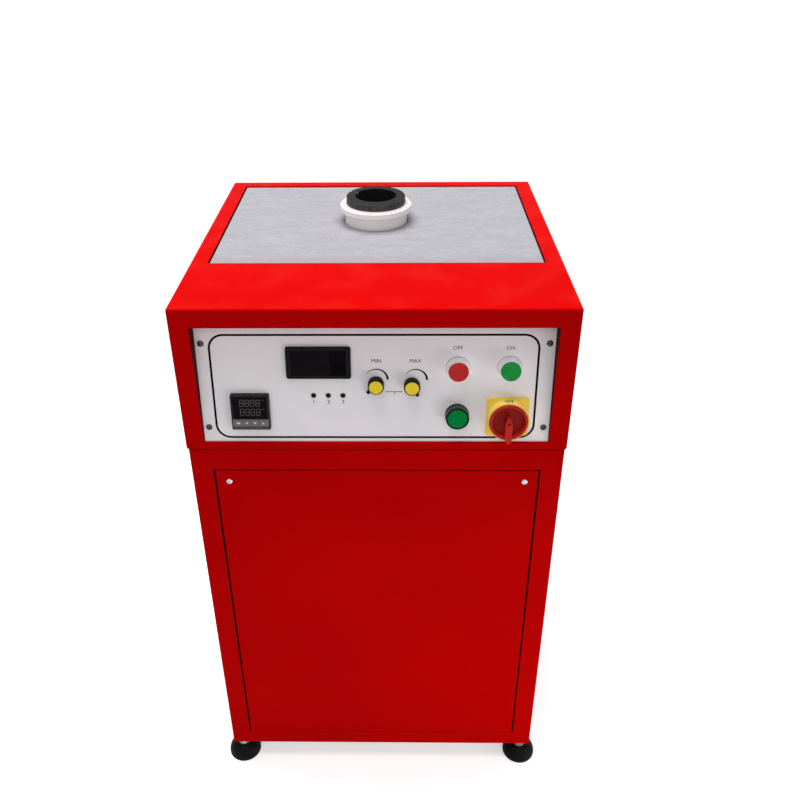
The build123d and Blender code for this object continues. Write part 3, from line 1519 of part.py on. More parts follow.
with BuildPart() as isolator_body:
    with BuildSketch(on_panel(isolator_place, -panel_sheet)):
        RectangleRounded(isolator_body_size, isolator_body_size, isolator_body_corner)
    extrude(amount=-isolator_body_depth)
    with BuildSketch(on_panel(isolator_place, -panel_sheet)):
        Circle(isolator_bush_radius)
    extrude(amount=panel_sheet)
    with BuildSketch(on_panel(isolator_place)):
        Circle(isolator_shaft_radius + running_gap)
    extrude(amount=-isolator_shaft_depth - isolator_shaft_end_gap, mode=Mode.SUBTRACT)
save(isolator_body, "isolator_body")

# ---------------------------------------------------------------- cover screws

door_screws = [
    Plane(origin=(side * door_screw_x, cabinet_front, door_screw_z), x_dir=(1, 0, 0), z_dir=(0, -1, 0))
    for side in (-1, 1)
]
panel_screws = [
    on_panel((side * panel_screw_x, up)) for side in (-1, 1) for up in (panel_screw_low, panel_screw_high)
]
rear_screws = [
    Plane(
        origin=(side * rear_screw_x, rear_skin, rear_middle + row * rear_screw_z),
        x_dir=(-1, 0, 0),
        z_dir=(0, 1, 0),
    )
    for side in (-1, 1)
    for row in (-1, 0, 1)
]
half_spacing = fan_hole_spacing / 2
fan_screws = [
    Plane(
        origin=(fan_x + across * half_spacing, rear_skin + guard_wire, fan_z + up * half_spacing),
        x_dir=(-1, 0, 0),
        z_dir=(0, 1, 0),
    )
    for across in (-1, 1)
    for up in (-1, 1)
]
with BuildPart() as cover_screws:
    for seat in door_screws + panel_screws + rear_screws + fan_screws:
        with BuildSketch(seat):
            Circle(screw_head_radius)
        with BuildSketch(seat.offset(screw_head_height)):
            Circle(screw_head_top_radius)
        loft()
        with BuildSketch(seat.offset(screw_head_height)):
            Rectangle(screw_recess_length, screw_recess_width)
            Rectangle(screw_recess_width, screw_recess_length)
        extrude(amount=-screw_recess_depth, mode=Mode.SUBTRACT)
        with BuildSketch(seat):
            Circle(screw_shank_radius)
        extrude(amount=-screw_length)
save(cover_screws, "cover_screws")
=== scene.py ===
# %% [markdown]
# # A gold melting furnace, finished in Blender
# The furnace is a red sheet-steel cabinet with a wider head on top. The head carries a grey fibre board,
# a graphite crucible in a white ceramic sleeve, and a white control panel that leans back in a pocket.
# The solid parts come in ready made, at their true size and place, so this lesson adds what a maker
# would add last: paint, grain, print, screws and wire. Each step says how the real thing is finished.

# %% Load the frame
import json
import random
from math import atan2, cos, pi, radians, sin

import bmesh
import bpy
from mathutils import Matrix, Vector


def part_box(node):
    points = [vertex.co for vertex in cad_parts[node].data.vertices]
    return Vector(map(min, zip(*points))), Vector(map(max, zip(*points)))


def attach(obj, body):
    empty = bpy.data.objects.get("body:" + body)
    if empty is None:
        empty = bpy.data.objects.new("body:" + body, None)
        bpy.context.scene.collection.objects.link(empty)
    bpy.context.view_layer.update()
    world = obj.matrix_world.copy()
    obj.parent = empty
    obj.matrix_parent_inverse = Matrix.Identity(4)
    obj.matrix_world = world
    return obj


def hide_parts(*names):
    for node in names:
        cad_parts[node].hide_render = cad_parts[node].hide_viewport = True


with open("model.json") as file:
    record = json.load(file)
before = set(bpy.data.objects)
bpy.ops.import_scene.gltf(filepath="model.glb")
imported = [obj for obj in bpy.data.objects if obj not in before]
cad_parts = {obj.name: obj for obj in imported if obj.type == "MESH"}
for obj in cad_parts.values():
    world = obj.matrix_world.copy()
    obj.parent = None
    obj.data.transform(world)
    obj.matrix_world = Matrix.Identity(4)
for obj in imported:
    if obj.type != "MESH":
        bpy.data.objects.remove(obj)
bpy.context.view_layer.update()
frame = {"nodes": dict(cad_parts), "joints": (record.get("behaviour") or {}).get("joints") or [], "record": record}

MM = 0.001
side_way, back_way, up_way = Vector((1, 0, 0)), Vector((0, 1, 0)), Vector((0, 0, 1))
nodes = frame["nodes"]
joints = {joint["name"]: joint for joint in frame["joints"]}


def linked(name, data):
    """A new object that shows some data in the scene."""
    made = bpy.data.objects.new(name, data)
    bpy.context.collection.objects.link(made)
    return made


print("solid parts:", len(nodes), "moving joints:", len(joints))

# %% [markdown]
# ## The camera
# A camera is a place, three directions and a focal length. Here the focal length is known in pixels of
# a square picture, so it is turned into millimetres on Blender's 36 mm sensor. The picture's centre of
# perspective isn't quite at its middle, and a small lens shift puts it right without turning the camera.
# The directions come from three turns, and a matrix built from them is easier to trust than Euler angles.
# Its place is kept as a distance from the middle of the head's front top edge.

# %% Camera
picture_side = 800
focal_pixels = 828.84
perspective_centre = (385.86, 367.36)
camera_offset = Vector((0.0288, -0.86058, 0.42171))
camera_yaw, camera_pitch, camera_roll = 0.01776, -0.52565, -0.00933

head_low, head_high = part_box("head_casing")
camera_place = Vector((0, head_low.y, head_high.z)) + camera_offset
lens = bpy.data.cameras.new("camera")
lens.lens = focal_pixels / picture_side * lens.sensor_width
lens.shift_x = (picture_side / 2 - perspective_centre[0]) / picture_side
lens.shift_y = (perspective_centre[1] - picture_side / 2) / picture_side
camera = linked("camera", lens)
aim = Matrix.Rotation(camera_yaw, 3, "Z") @ Matrix.Rotation(camera_pitch, 3, "X")
level_right, forward, level_up = aim.col[0], aim.col[1], aim.col[2]
camera_right = level_right * cos(camera_roll) + level_up * sin(camera_roll)
camera_up = level_up * cos(camera_roll) - level_right * sin(camera_roll)
stance = Matrix((camera_right, camera_up, -forward)).transposed()
camera.matrix_world = Matrix.Translation(camera_place) @ stance.to_4x4()
bpy.context.scene.camera = camera
print("lens", round(lens.lens, 2), "mm, shift", round(lens.shift_x, 4), round(lens.shift_y, 4))

# %% [markdown]
# ## Node trees as plain expressions
# Materials, Geometry Nodes and the world are all webs of small nodes, and placing them one by one hides
# the idea. `Field` wraps one socket, and its operators add the Math nodes, so a rule reads as it would on
# paper. `Recipe` holds one tree and has one method that makes any node: its settings go in first, because
# some of them change which sockets the node has.


# %% Field and Recipe
class Field:
    """A number, colour or shape that flows through a tree. Arithmetic on it adds Math nodes."""

    def __init__(self, recipe, socket):
        self.recipe = recipe
        self.socket = socket

    def __add__(self, other):
        return self.recipe.maths("ADD", self, other)

    def __sub__(self, other):
        return self.recipe.maths("SUBTRACT", self, other)

    def __rsub__(self, other):
        return self.recipe.maths("SUBTRACT", other, self)

    def __mul__(self, other):
        return self.recipe.maths("MULTIPLY", self, other)

    def __truediv__(self, other):
        return self.recipe.maths("DIVIDE", self, other)

    def __rtruediv__(self, other):
        return self.recipe.maths("DIVIDE", other, self)

    __radd__ = __add__
    __rmul__ = __mul__


class Recipe:
    """One tree being written."""

    def __init__(self, tree):
        self.tree = tree

    def node(self, kind, settings=None, inputs=None, output=0):
        """Adds a node and returns one of its outputs. A list links several fields to one input."""
        made = self.tree.nodes.new(kind)
        for name, value in (settings or {}).items():
            setattr(made, name, value)
        for name, value in (inputs or {}).items():
            for one in value if isinstance(value, list) else [value]:
                if isinstance(one, Field):
                    self.tree.links.new(one.socket, made.inputs[name])
                else:
                    made.inputs[name].default_value = one
        return Field(self, made.outputs[output]) if made.outputs else None

    def maths(self, operation, first, second):
        return self.node("ShaderNodeMath", {"operation": operation}, {0: first, 1: second})

    def vector_maths(self, operation, first, second, output="Value"):
        return self.node("ShaderNodeVectorMath", {"operation": operation}, {0: first, 1: second}, output)

    def looked_at(self):
        """1 to the camera, a reflection or a clear part that looks here, and 0 to all other light."""
        seen = self.node("ShaderNodeLightPath", output="Is Camera Ray")
        for kind in ("Is Glossy Ray", "Is Transmission Ray"):
            seen = self.maths("MAXIMUM", seen, self.node("ShaderNodeLightPath", output=kind))
        return seen


# %% [markdown]
# ## What a finish is made of
# A real surface is a main colour with something over it: dust, wear, stains, a film. So `Finish`, the
# recipe of one material, has fields that say where a thing is, from 0 to 1, and methods that lay a tone
# there. Noise gives clouds and grain, a distance gives bands, the face's normal tells top from side, and
# a bevel's normal, compared with the face's own, finds the sharp edges that wear first.


# %% Finish recipe
bevel_samples = 4
edge_begins, edge_full = 0.99, 0.8


def colour(red, green, blue):
    """A colour as a screen shows it, each part from 0 to 255, turned into the linear light shaders use."""
    parts = [part / 255 for part in (red, green, blue)]
    linear = [part / 12.92 if part <= 0.04045 else ((part + 0.055) / 1.055) ** 2.4 for part in parts]
    return (*linear, 1.0)


def paler(tone, share):
    """A tone moved a share of the way to white."""
    return tuple(part + (255 - part) * share for part in tone)


class Finish(Recipe):
    """One material being made. Its constant values are set straight on the Principled shader."""

    def __init__(self, name, rounding=None, **constants):
        """Rounding is the radius in metres that its sharp edges seem to have."""
        self.material = bpy.data.materials.new(name)
        self.material.use_nodes = True
        super().__init__(self.material.node_tree)
        self.shader = self.tree.nodes["Principled BSDF"]
        for words, value in constants.items():
            self.shader.inputs[words.replace("_", " ")].default_value = value
        if rounding:
            settings = {"samples": bevel_samples}
            self.rounded = self.node("ShaderNodeBevel", settings, {"Radius": rounding}, output="Normal")

    def feed(self, socket, field):
        self.tree.links.new(field.socket, self.shader.inputs[socket])

    def place(self):
        return self.node("ShaderNodeTexCoord", output="Object")

    def noise(self, size, detail=2.0, stretch=(1, 1, 1)):
        """Soft random patches of about a size in metres, from 0 to 1, drawn out along an axis by stretch."""
        squeeze = tuple(1 / length for length in stretch)
        where = self.node("ShaderNodeMapping", inputs={"Vector": self.place(), "Scale": squeeze})
        return self.node("ShaderNodeTexNoise", inputs={"Vector": where, "Scale": 1 / size, "Detail": detail})

    def spread(self, field, low, high, start=0.0, end=1.0):
        """The field from low to high, stretched to run from start to end and held there outside."""
        values = {"Value": field, "From Min": low, "From Max": high, "To Min": start, "To Max": end}
        return self.node("ShaderNodeMapRange", inputs=values)

    def fade(self, field, low, high):
        """1 up to low, and then less, down to 0 at high."""
        return self.spread(field, low, high, 1.0, 0.0)

    def between(self, mask, start, end):
        """From start, where the mask is 0, to end, where it is 1."""
        return self.spread(mask, 0.0, 1.0, start, end)

    def band(self, field, low, high, soft):
        """1 where the field lies between low and high, and 0 outside."""
        return self.spread(field, low - soft, low) * self.fade(field, high, high + soft)

    def patches(self, size, detail=2.0, low=0.35, high=0.65, stretch=(1, 1, 1)):
        """Noise with more contrast: 0 wherever it is under low, and 1 wherever it is over high."""
        return self.spread(self.noise(size, detail, stretch), low, high)

    def mix(self, amount, first, second):
        """The first colour where amount is 0 and the second where it is 1."""
        ends = [end if isinstance(end, Field) else colour(*end) for end in (first, second)]
        values = {0: amount, 6: ends[0], 7: ends[1]}
        return self.node("ShaderNodeMix", {"data_type": "RGBA"}, values, output=2)

    def over(self, base, mask, strength, tone):
        """The base with a tone laid over it where the mask is 1."""
        return self.mix(mask * strength, base, tone)

    def along(self, direction, start=(0, 0, 0)):
        """How far a point lies from a start along a direction, in metres."""
        offset = self.vector_maths("SUBTRACT", self.place(), start, "Vector")
        return self.vector_maths("DOT_PRODUCT", offset, direction)

    def from_axis(self, solid):
        """How far a point lies from the upright axis through a solid's middle, in metres."""
        low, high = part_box(solid)
        axis = ((low.x + high.x) / 2, (low.y + high.y) / 2, 0)
        flat = self.vector_maths("MULTIPLY", self.place(), (1, 1, 0), "Vector")
        return self.vector_maths("DISTANCE", flat, axis)

    def facing(self, direction):
        """1 where the face looks along a direction, and less the more it turns away."""
        face = self.node("ShaderNodeNewGeometry", output="Normal")
        return self.vector_maths("DOT_PRODUCT", direction, face)

    def edge(self):
        """Near 1 along sharp edges, where the rounded normal leans away from the face's own."""
        return self.spread(self.facing(self.rounded), edge_begins, edge_full)

    def complete(self, base, roughness, height, depth):
        """Feeds the shader. The height field raises the rounded surface by up to a depth in metres."""
        relief = {"Height": height, "Distance": depth, "Normal": self.rounded}
        normal = self.node("ShaderNodeBump", inputs=relief)
        self.feed("Base Color", base)
        self.feed("Roughness", roughness)
        self.feed("Normal", normal)
        return self.material


# %% [markdown]
# ## Red enamel
# The cabinet is powder-coated: the paint is sprayed dry and melted on. It is thick and even, with a
# faint ripple like orange peel, and it is thinnest on the folds, where it wears paler; the paler folds are
# partly that wear and partly a painted highlight. Two reds in wide soft clouds keep the large faces from
# looking computed, and the ripple lives in the bump alone. Faces that look up carry patches of painted
# reflection in a lighter red, which a mask from the face's normal puts there. Walls that look inwards, as
# in the panel's pocket, get painted shade: there x times the normal's x is below zero, and the red is
# painted nearly black.


# %% Red enamel
def red_enamel():
    finish = Finish("red_enamel", rounding=1.2 * MM, Specular_IOR_Level=0.005)
    clouds = finish.patches(0.21, detail=3.0)
    dust = finish.patches(0.6 * MM, detail=1.0, low=0.62, high=0.75)
    upper = finish.spread(finish.facing(up_way), 0.9, 1.0)
    # Painted reflection: patches of lighter red on faces that look up.
    top_reflection = upper * finish.patches(55 * MM, detail=3.0, low=0.48, high=0.7)
    # The paler folds are partly wear and partly a painted highlight along the edges.
    wear = finish.edge() * finish.patches(9 * MM, detail=4.0, low=0.3, high=0.7)
    # Painted shade: walls that look inwards, as in the panel's pocket, are painted nearly black.
    inward_wall_shade = finish.fade(finish.along(side_way) * finish.facing(side_way), -0.15, -0.05)
    base = finish.mix(clouds, (190, 2, 4), (197, 3, 2))
    base = finish.over(base, dust, strength=0.08, tone=(138, 3, 6))
    base = finish.over(base, top_reflection, strength=0.3, tone=(206, 40, 30))
    base = finish.over(base, wear, strength=0.35, tone=(214, 42, 30))
    base = finish.over(base, inward_wall_shade, strength=0.9, tone=(26, 2, 4))
    roughness = finish.spread(clouds + wear, 0.0, 1.4, start=0.32, end=0.42)
    return finish.complete(base, roughness, height=finish.noise(3.2 * MM, detail=1.0), depth=0.05 * MM)


# %% [markdown]
# ## Moulded plastics and rubber
# Black housings, keys, knob caps, buttons and feet are all moulded. They differ in colour and gloss, but
# the recipe is one: two near shades in soft patches, a fine spark-eroded grain from the mould, and edges
# that handling has rubbed paler. A function takes the differences as arguments.


# %% Moulded plastics
def moulded(name, main, second, gloss=0.35, grain=0.5 * MM, depth=0.02 * MM, rub=0.35, shine=0.08):
    finish = Finish(name, rounding=0.4 * MM, Specular_IOR_Level=shine)
    shades = finish.patches(14 * MM, detail=4.0)
    wear = finish.edge() * finish.patches(3 * MM, detail=3.0)
    base = finish.mix(shades, main, second)
    base = finish.over(base, wear, strength=rub, tone=paler(main, 0.22))
    roughness = finish.between(shades, gloss - 0.04, gloss + 0.06)
    return finish.complete(base, roughness, height=finish.noise(grain, detail=1.0), depth=depth)


# %% [markdown]
# ## Metals
# Bare metal shows how it was worked. Rolled and brushed steel has fine lines one way, so its noise is
# drawn out along one axis. Plated screws and turned brass are smoother, with small stains. Metallic is
# 1, and the colour is then the colour of the reflection.


# %% Metals
def metal(name, main, second, gloss=0.3, lines=(1, 1, 1)):
    finish = Finish(name, rounding=0.4 * MM, Metallic=1.0)
    worked = finish.noise(0.8 * MM, detail=3.0, stretch=lines)
    stains = finish.patches(11 * MM, detail=5.0, low=0.42, high=0.7)
    base = finish.mix(stains, main, second)
    base = finish.over(base, finish.edge(), strength=0.5, tone=paler(main, 0.3))
    roughness = finish.spread(worked + stains * 0.6, 0.3, 1.2, start=gloss - 0.06, end=gloss + 0.14)
    return finish.complete(base, roughness, height=worked, depth=0.01 * MM)


# %% Cover screws
def screw_plate():
    """Bright zinc, but black zinc on the four screws of the control panel, which sit higher than the rest."""
    finish = Finish("screw_plate", rounding=0.3 * MM, Metallic=1.0)
    stains = finish.patches(1.1 * MM, detail=3.0, low=0.4)
    panel_low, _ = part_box("control_panel")
    on_head = finish.spread(finish.along(up_way, panel_low), -2 * MM, 0.0)
    bright = finish.mix(stains, (214, 214, 216), (150, 148, 146))
    black = finish.mix(stains, (84, 84, 82), (18, 18, 18))
    base = finish.mix(on_head, bright, black)
    base = finish.over(base, finish.edge(), strength=0.3, tone=(206, 206, 208))
    return finish.complete(base, finish.between(stains, 0.16, 0.34), height=stains, depth=0.02 * MM)


# %% [markdown]
# ## Pressed fibre, ceramic and graphite
# These have no gloss at all, so texture does the work. The board is pressed mineral fibre: pale and dark
# fibres lie mostly side to side, which is stretched noise at three sizes. Ceramic is nearly plain, with
# kiln specks. Graphite is dark and slightly silky where tongs and metal have rubbed it.


# %% Fibre board
def fibre_board():
    """Dusty along its front, and darker round the sleeve."""
    finish = Finish("fibre_board", rounding=0.6 * MM, Specular_IOR_Level=0.15)
    fibres = finish.noise(1.4 * MM, detail=3.0, stretch=(6, 1, 1))
    cross_fibres = finish.noise(1.6 * MM, detail=3.0, stretch=(1, 4, 1))
    clouds = finish.noise(14 * MM, detail=5.0, stretch=(2.5, 1, 1))
    mottle = fibres * 0.5 + cross_fibres * 0.2 + clouds * 0.3
    board_corner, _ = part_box("top_board")
    front_strip = finish.fade(finish.along(back_way, board_corner), 9 * MM, 26 * MM)
    sleeve_low, sleeve_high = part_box("ceramic_sleeve")
    flange = (sleeve_high.x - sleeve_low.x) / 2
    # Darker round the sleeve, out to a little beyond its flange.
    darker_round_sleeve = finish.fade(finish.from_axis("ceramic_sleeve") + clouds * 14 * MM, flange, flange + 24 * MM)
    pits = finish.patches(1.6 * MM, low=0.66, high=0.74)
    base = finish.mix(finish.spread(mottle, 0.36, 0.64), (145, 143, 149), (165, 163, 169))
    base = finish.over(base, front_strip, strength=0.35, tone=(134, 133, 138))
    base = finish.over(base, darker_round_sleeve, strength=0.5, tone=(114, 111, 115))
    base = finish.over(base, pits, strength=0.4, tone=(106, 106, 111))
    roughness = finish.spread(mottle, 0.3, 0.7, start=0.84, end=0.97)
    return finish.complete(base, roughness, height=mottle - pits * 0.6, depth=0.35 * MM)


# %% Ceramic, brick and wool
def fired(name, main, second, speck, speck_size=1.4 * MM, depth=0.08 * MM, speckle=0.5, top_shade=None):
    """The last argument is the tone of the sleeve's top face: painted shade, darker than its sides, to even out
    the stronger light from above.
    """
    finish = Finish(name, rounding=0.8 * MM, Specular_IOR_Level=0.2)
    shades = finish.patches(18 * MM, detail=5.0)
    specks = finish.patches(speck_size, low=0.66, high=0.76)
    base = finish.mix(shades, main, second)
    # Painted shade: the sleeve's top face is painted darker than its sides, which get less light.
    if top_shade:
        _, sleeve_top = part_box("ceramic_sleeve")
        base = finish.mix(finish.spread(finish.along(up_way, sleeve_top), -1.2 * MM, -0.3 * MM), base, top_shade)
    base = finish.over(base, specks, strength=speckle, tone=speck)
    height = finish.noise(speck_size, detail=4.0) - specks * 0.5
    return finish.complete(base, finish.between(shades, 0.72, 0.86), height=height, depth=depth)


# %% Graphite
def graphite():
    """Sooty, with a paler line above the lip's foot, and painted shade darkening the rim's top and the inside."""
    finish = Finish("graphite", rounding=0.9 * MM, Specular_IOR_Level=0.06)
    _, rim_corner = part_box("crucible")
    depth = finish.along(-up_way, (0, 0, rim_corner.z))
    mouth, lip_foot = 30.1 * MM, 10.7 * MM
    soot = finish.noise(6 * MM, detail=6.0)
    # A paler line above the lip's foot.
    paler_line = finish.band(depth, lip_foot - 1.0 * MM, lip_foot - 0.4 * MM, soft=0.5 * MM)
    # Painted shade: the rim's top is painted darker, to offset the light from above.
    rim = finish.fade(depth, 0.2 * MM, 0.9 * MM)
    rim_shade_tone = finish.mix(finish.spread(soot, 0.4, 0.65), (22, 20, 20), (38, 36, 35))
    wear = finish.edge() * finish.spread(soot, 0.4, 0.6)
    within = finish.fade(finish.from_axis("crucible"), mouth, mouth + MM)
    # Painted shade: the inside of the cup is painted near black.
    inside = finish.spread(depth, 0.5 * MM, 1.2 * MM) * within
    base = finish.mix(finish.spread(soot, 0.35, 0.65), (60, 58, 57), (84, 81, 80))
    base = finish.over(base, paler_line, strength=0.6, tone=(118, 115, 114))
    base = finish.mix(rim, base, rim_shade_tone)
    base = finish.over(base, wear, strength=0.2, tone=(108, 105, 103))
    base = finish.mix(inside, base, (26, 25, 25))
    roughness = finish.spread(soot, 0.3, 0.7, start=0.44, end=0.66)
    return finish.complete(base, roughness, height=finish.noise(0.7 * MM, detail=3.0), depth=0.05 * MM)


# %% [markdown]
# ## The control panel's own directions
# Everything on the leaning panel is easiest to place in the panel's own millimetres: across from its
# middle, up from the pocket's lower edge and out from its face. The power knob's joint gives the way out
# and one known place, and the rest follows from a cross product.

# %% Panel directions
knob_joint = joints["min_power_turn"]
knob_across, knob_up = 1.0, 82.3
outward = -Vector(knob_joint["axis"])
upward = outward.cross(side_way)
panel_start = Vector(knob_joint["pos_m"]) - (knob_across * side_way + knob_up * upward) * MM


def on_panel(across, up, out=0.0):
    """A place in metres, from millimetres across, up and out on the panel."""
    return panel_start + (across * side_way + up * upward + out * outward) * MM


def panel_matrix(across, up, out=0.0):
    """Moves a flat shape drawn in metres on the XY plane onto the panel."""
    turn = Matrix((side_way, upward, outward)).transposed()
    return Matrix.Translation(on_panel(across, up, out)) @ turn.to_4x4()


print("panel leans", round(outward.angle(-back_way) * 180 / pi, 2), "degrees")

# %% [markdown]
# ## Panel, meter and controller finishes
# The panel is satin white on steel. The meter's window is one sheet of smoked plastic, darker at its
# right end where nothing is lit behind it. The controller's black case has a grey key strip and a darker
# strip below it, painted by bands in the panel's own upward direction.

# %% Panel finish
controller_place = (-155.9, 44.7)
meter_place = (-69.0, 110.7)
pilot_place = (101.6, 39.2)
isolator_place = (164.3, 36.9)
stop_place = (101.1, 103.1)
start_place = (164.1, 104.0)


def white_panel():
    finish = Finish("white_panel", rounding=0.4 * MM, Specular_IOR_Level=0.12)
    clouds = finish.patches(60 * MM, detail=4.0)
    dust = finish.patches(0.8 * MM, low=0.68, high=0.8)
    base = finish.mix(clouds, (252, 247, 250), (247, 242, 246))
    base = finish.over(base, dust, strength=0.1, tone=(190, 186, 188))
    return finish.complete(base, finish.between(clouds, 0.34, 0.44), finish.noise(1.1 * MM), depth=0.01 * MM)


# %% Smoked window
unlit_from, unlit_full, unlit_lean = 13.4, 14.2, 0.08


def smoked_window():
    finish = Finish("smoked_window", rounding=0.3 * MM, Specular_IOR_Level=0.025)
    middle = on_panel(*meter_place)
    across = finish.along(side_way, middle) + finish.along(upward, middle) * unlit_lean
    unlit = finish.spread(across, unlit_from * MM, unlit_full * MM)
    smears = finish.patches(15 * MM, detail=5.0, low=0.4, high=0.7, stretch=(2, 1, 1))
    base = finish.mix(unlit, (20, 16, 20), (2, 1, 4))
    base = finish.over(base, smears, strength=0.25, tone=(28, 24, 27))
    return finish.complete(base, finish.between(smears, 0.08, 0.2), finish.noise(6 * MM), depth=0.01 * MM)


# %% Controller case
strip_half_width, strip_blur = 22.2, 0.05
front_from, front_full = 6.2, 6.4
strips = {"label": (-22.2, -19.3, (88, 80, 83)), "keys": (-18.9, -9.4, (140, 130, 132))}


def controller_case():
    finish = Finish("controller_case", rounding=0.4 * MM, Specular_IOR_Level=0.1)
    middle = on_panel(*controller_place)
    width = (-strip_half_width * MM, strip_half_width * MM, strip_blur * MM)
    front = finish.spread(finish.along(outward, middle), front_from * MM, front_full * MM)
    front = finish.band(finish.along(side_way, middle), *width) * front
    upwards = finish.along(upward, middle)
    shades = finish.patches(9 * MM, detail=4.0)
    base = finish.mix(shades, (30, 26, 28), (37, 33, 35))
    base = finish.over(base, finish.edge(), strength=0.25, tone=(80, 75, 76))
    for low, high, tone in strips.values():
        base = finish.mix(finish.band(upwards, low * MM, high * MM, strip_blur * MM) * front, base, tone)
    grain = finish.noise(0.4 * MM, detail=1.0)
    return finish.complete(base, finish.between(shades, 0.36, 0.46), height=grain, depth=0.02 * MM)


# %% [markdown]
# ## Pilot lamp and main switch
# The lamp's body is dull green plastic between a black foot and a black front rim, so its colour is
# a band in the outward direction. The switch's red knob is darker at the bottom of its dish, partly its own
# darker plastic and partly painted shade in the recess, and its yellow plate carries a painted highlight on the
# collar.

# %% Pilot lamp body
green_from, green_to = 3.2, 11.2


def pilot_body():
    finish = Finish("pilot_body", rounding=0.4 * MM, Specular_IOR_Level=0.2)
    outwards = finish.along(outward, on_panel(*pilot_place))
    green = finish.band(outwards, green_from * MM, green_to * MM, soft=0.2 * MM)
    facets = finish.patches(2.5 * MM, detail=1.0, low=0.4, high=0.6)
    base = finish.mix(green, (22, 22, 23), finish.mix(facets, (22, 66, 48), (52, 98, 76)))
    grain = finish.noise(0.6 * MM, detail=1.0)
    return finish.complete(base, finish.between(facets, 0.14, 0.26), height=grain, depth=0.01 * MM)


# %% Main switch knob
dish_floor_out, handle_out = 13.2, 23.3


def switch_red():
    finish = Finish("switch_red", rounding=0.5 * MM, Specular_IOR_Level=0.12)
    outwards = finish.along(outward, on_panel(*isolator_place))
    # The dish colour is partly the plastic's own darker red and partly painted shade, deepest at the dish floor.
    clear_of_dish_shade = finish.spread(outwards, dish_floor_out * MM, handle_out * MM)
    shades = finish.patches(8 * MM, detail=4.0)
    dish_tone_and_shade = finish.mix(shades, (146, 20, 13), (156, 24, 16))
    handle = finish.mix(shades, (198, 36, 28), (206, 41, 32))
    wear = finish.edge() * finish.patches(2 * MM, detail=3.0)
    base = finish.over(finish.mix(clear_of_dish_shade, dish_tone_and_shade, handle), wear, strength=0.5, tone=(222, 84, 62))
    grain = finish.noise(0.5 * MM, detail=1.0)
    return finish.complete(base, finish.between(shades, 0.24, 0.34), height=grain, depth=0.015 * MM)


# %% Main switch plate
collar_foot, collar_top = (25.9, 3.0), (25.4, 17.4)
highlight_rise, warm_depth = 3.0, 2.2


def switch_yellow():
    """The collar's two ends are pairs of radius and distance out. Its mouth is warmer beside the red knob."""
    finish = Finish("switch_yellow", rounding=0.4 * MM, Specular_IOR_Level=0.08)
    outwards = finish.along(outward, on_panel(*isolator_place))
    # Painted highlight: the collar is painted paler yellow from its foot outwards.
    collar_highlight = finish.spread(outwards, collar_foot[1] * MM, (collar_foot[1] + highlight_rise) * MM)
    at_mouth = finish.spread(outwards, (collar_top[1] - warm_depth) * MM, collar_top[1] * MM)
    shades = finish.patches(14 * MM, detail=4.0)
    base = finish.mix(shades, (255, 221, 90), (254, 213, 80))
    base = finish.mix(collar_highlight, base, (255, 228, 116))
    base = finish.over(base, at_mouth, strength=0.7, tone=(255, 184, 66))
    grain = finish.noise(0.5 * MM, detail=1.0)
    return finish.complete(base, finish.between(shades, 0.3, 0.4), height=grain, depth=0.02 * MM)


# %% [markdown]
# ## A finish for every slot
# The record names a material slot for each solid. A dictionary from slot to finish, then one loop, gives
# every solid its finish, so that nothing is left in the plain colour it arrived with.

# %% Finishes by slot
sleeve_tones = ((255, 253, 252), (250, 247, 245), (204, 197, 192))
finishes = {
    "red_paint": red_enamel(),
    "fibre_board": fibre_board(),
    "graphite": graphite(),
    "white_panel": white_panel(),
    "dark_window": smoked_window(),
    "white_ceramic": fired("white_ceramic", *sleeve_tones, speckle=0.3, top_shade=(203, 199, 198)),
    "firebrick": fired("firebrick", (206, 186, 146), (192, 166, 124), (150, 122, 90), 2.4 * MM, 0.4 * MM),
    "ceramic_wool": fired("wool", (232, 230, 222), (216, 212, 202), (196, 190, 178), 3 * MM, 0.8 * MM),
    "black_plastic": moulded("black_plastic", (21, 19, 20), (27, 24, 25), 0.42, rub=0.25, shine=0.06),
    "grey_key": moulded("grey_key", (132, 122, 124), (124, 114, 117), 0.4),
    "yellow_plastic": switch_yellow(),
    "red_plastic": switch_red(),
    "red_button": moulded("red_button", (204, 49, 48), (196, 45, 44), 0.36),
    "green_button": moulded("green_button", (36, 156, 68), (32, 146, 63), 0.36),
    "green_lens": moulded("green_lens", (1, 138, 66), (1, 126, 59), 0.2, 2.2 * MM, 0.04 * MM, shine=0.03),
    "alarm_lens": moulded("alarm_lens", (60, 8, 20), (44, 6, 15), 0.16),
    "winding_tape": moulded("winding_tape", (196, 150, 60), (178, 132, 50), 0.3, 3 * MM, 0.1 * MM),
    "capacitor_can": moulded("capacitor_can", (34, 58, 120), (28, 50, 108), 0.3),
    "capacitor_case": moulded("capacitor_case", (58, 60, 64), (50, 52, 56), 0.42),
    "circuit_green": moulded("circuit_green", (18, 92, 52), (14, 78, 44), 0.3, 2 * MM, 0.1 * MM),
    "hose_rubber": moulded("hose_rubber", (46, 46, 48), (38, 38, 40), 0.55),
    "foot_rubber": moulded("foot_rubber", (20, 20, 20), (15, 15, 15), 0.5, 0.7 * MM, 0.05 * MM, 0.2, 0.05),
    "zinc_steel": metal("zinc_steel", (196, 197, 200), (168, 166, 160), 0.32, lines=(9, 1, 1)),
    "screw_chrome": screw_plate(),
    "bezel_silver": metal("bezel_silver", (246, 247, 247), (234, 234, 235), 0.32),
    "copper": metal("copper", (206, 122, 84), (150, 84, 58), 0.26, lines=(1, 1, 4)),
    "ferrite": metal("ferrite", (70, 70, 74), (58, 54, 54), 0.5, lines=(8, 1, 1)),
    "aluminium": metal("aluminium", (204, 206, 209), (186, 187, 190), 0.34, lines=(1, 1, 12)),
    "brass": metal("brass", (198, 162, 92), (158, 122, 66), 0.24, lines=(1, 6, 1)),
}
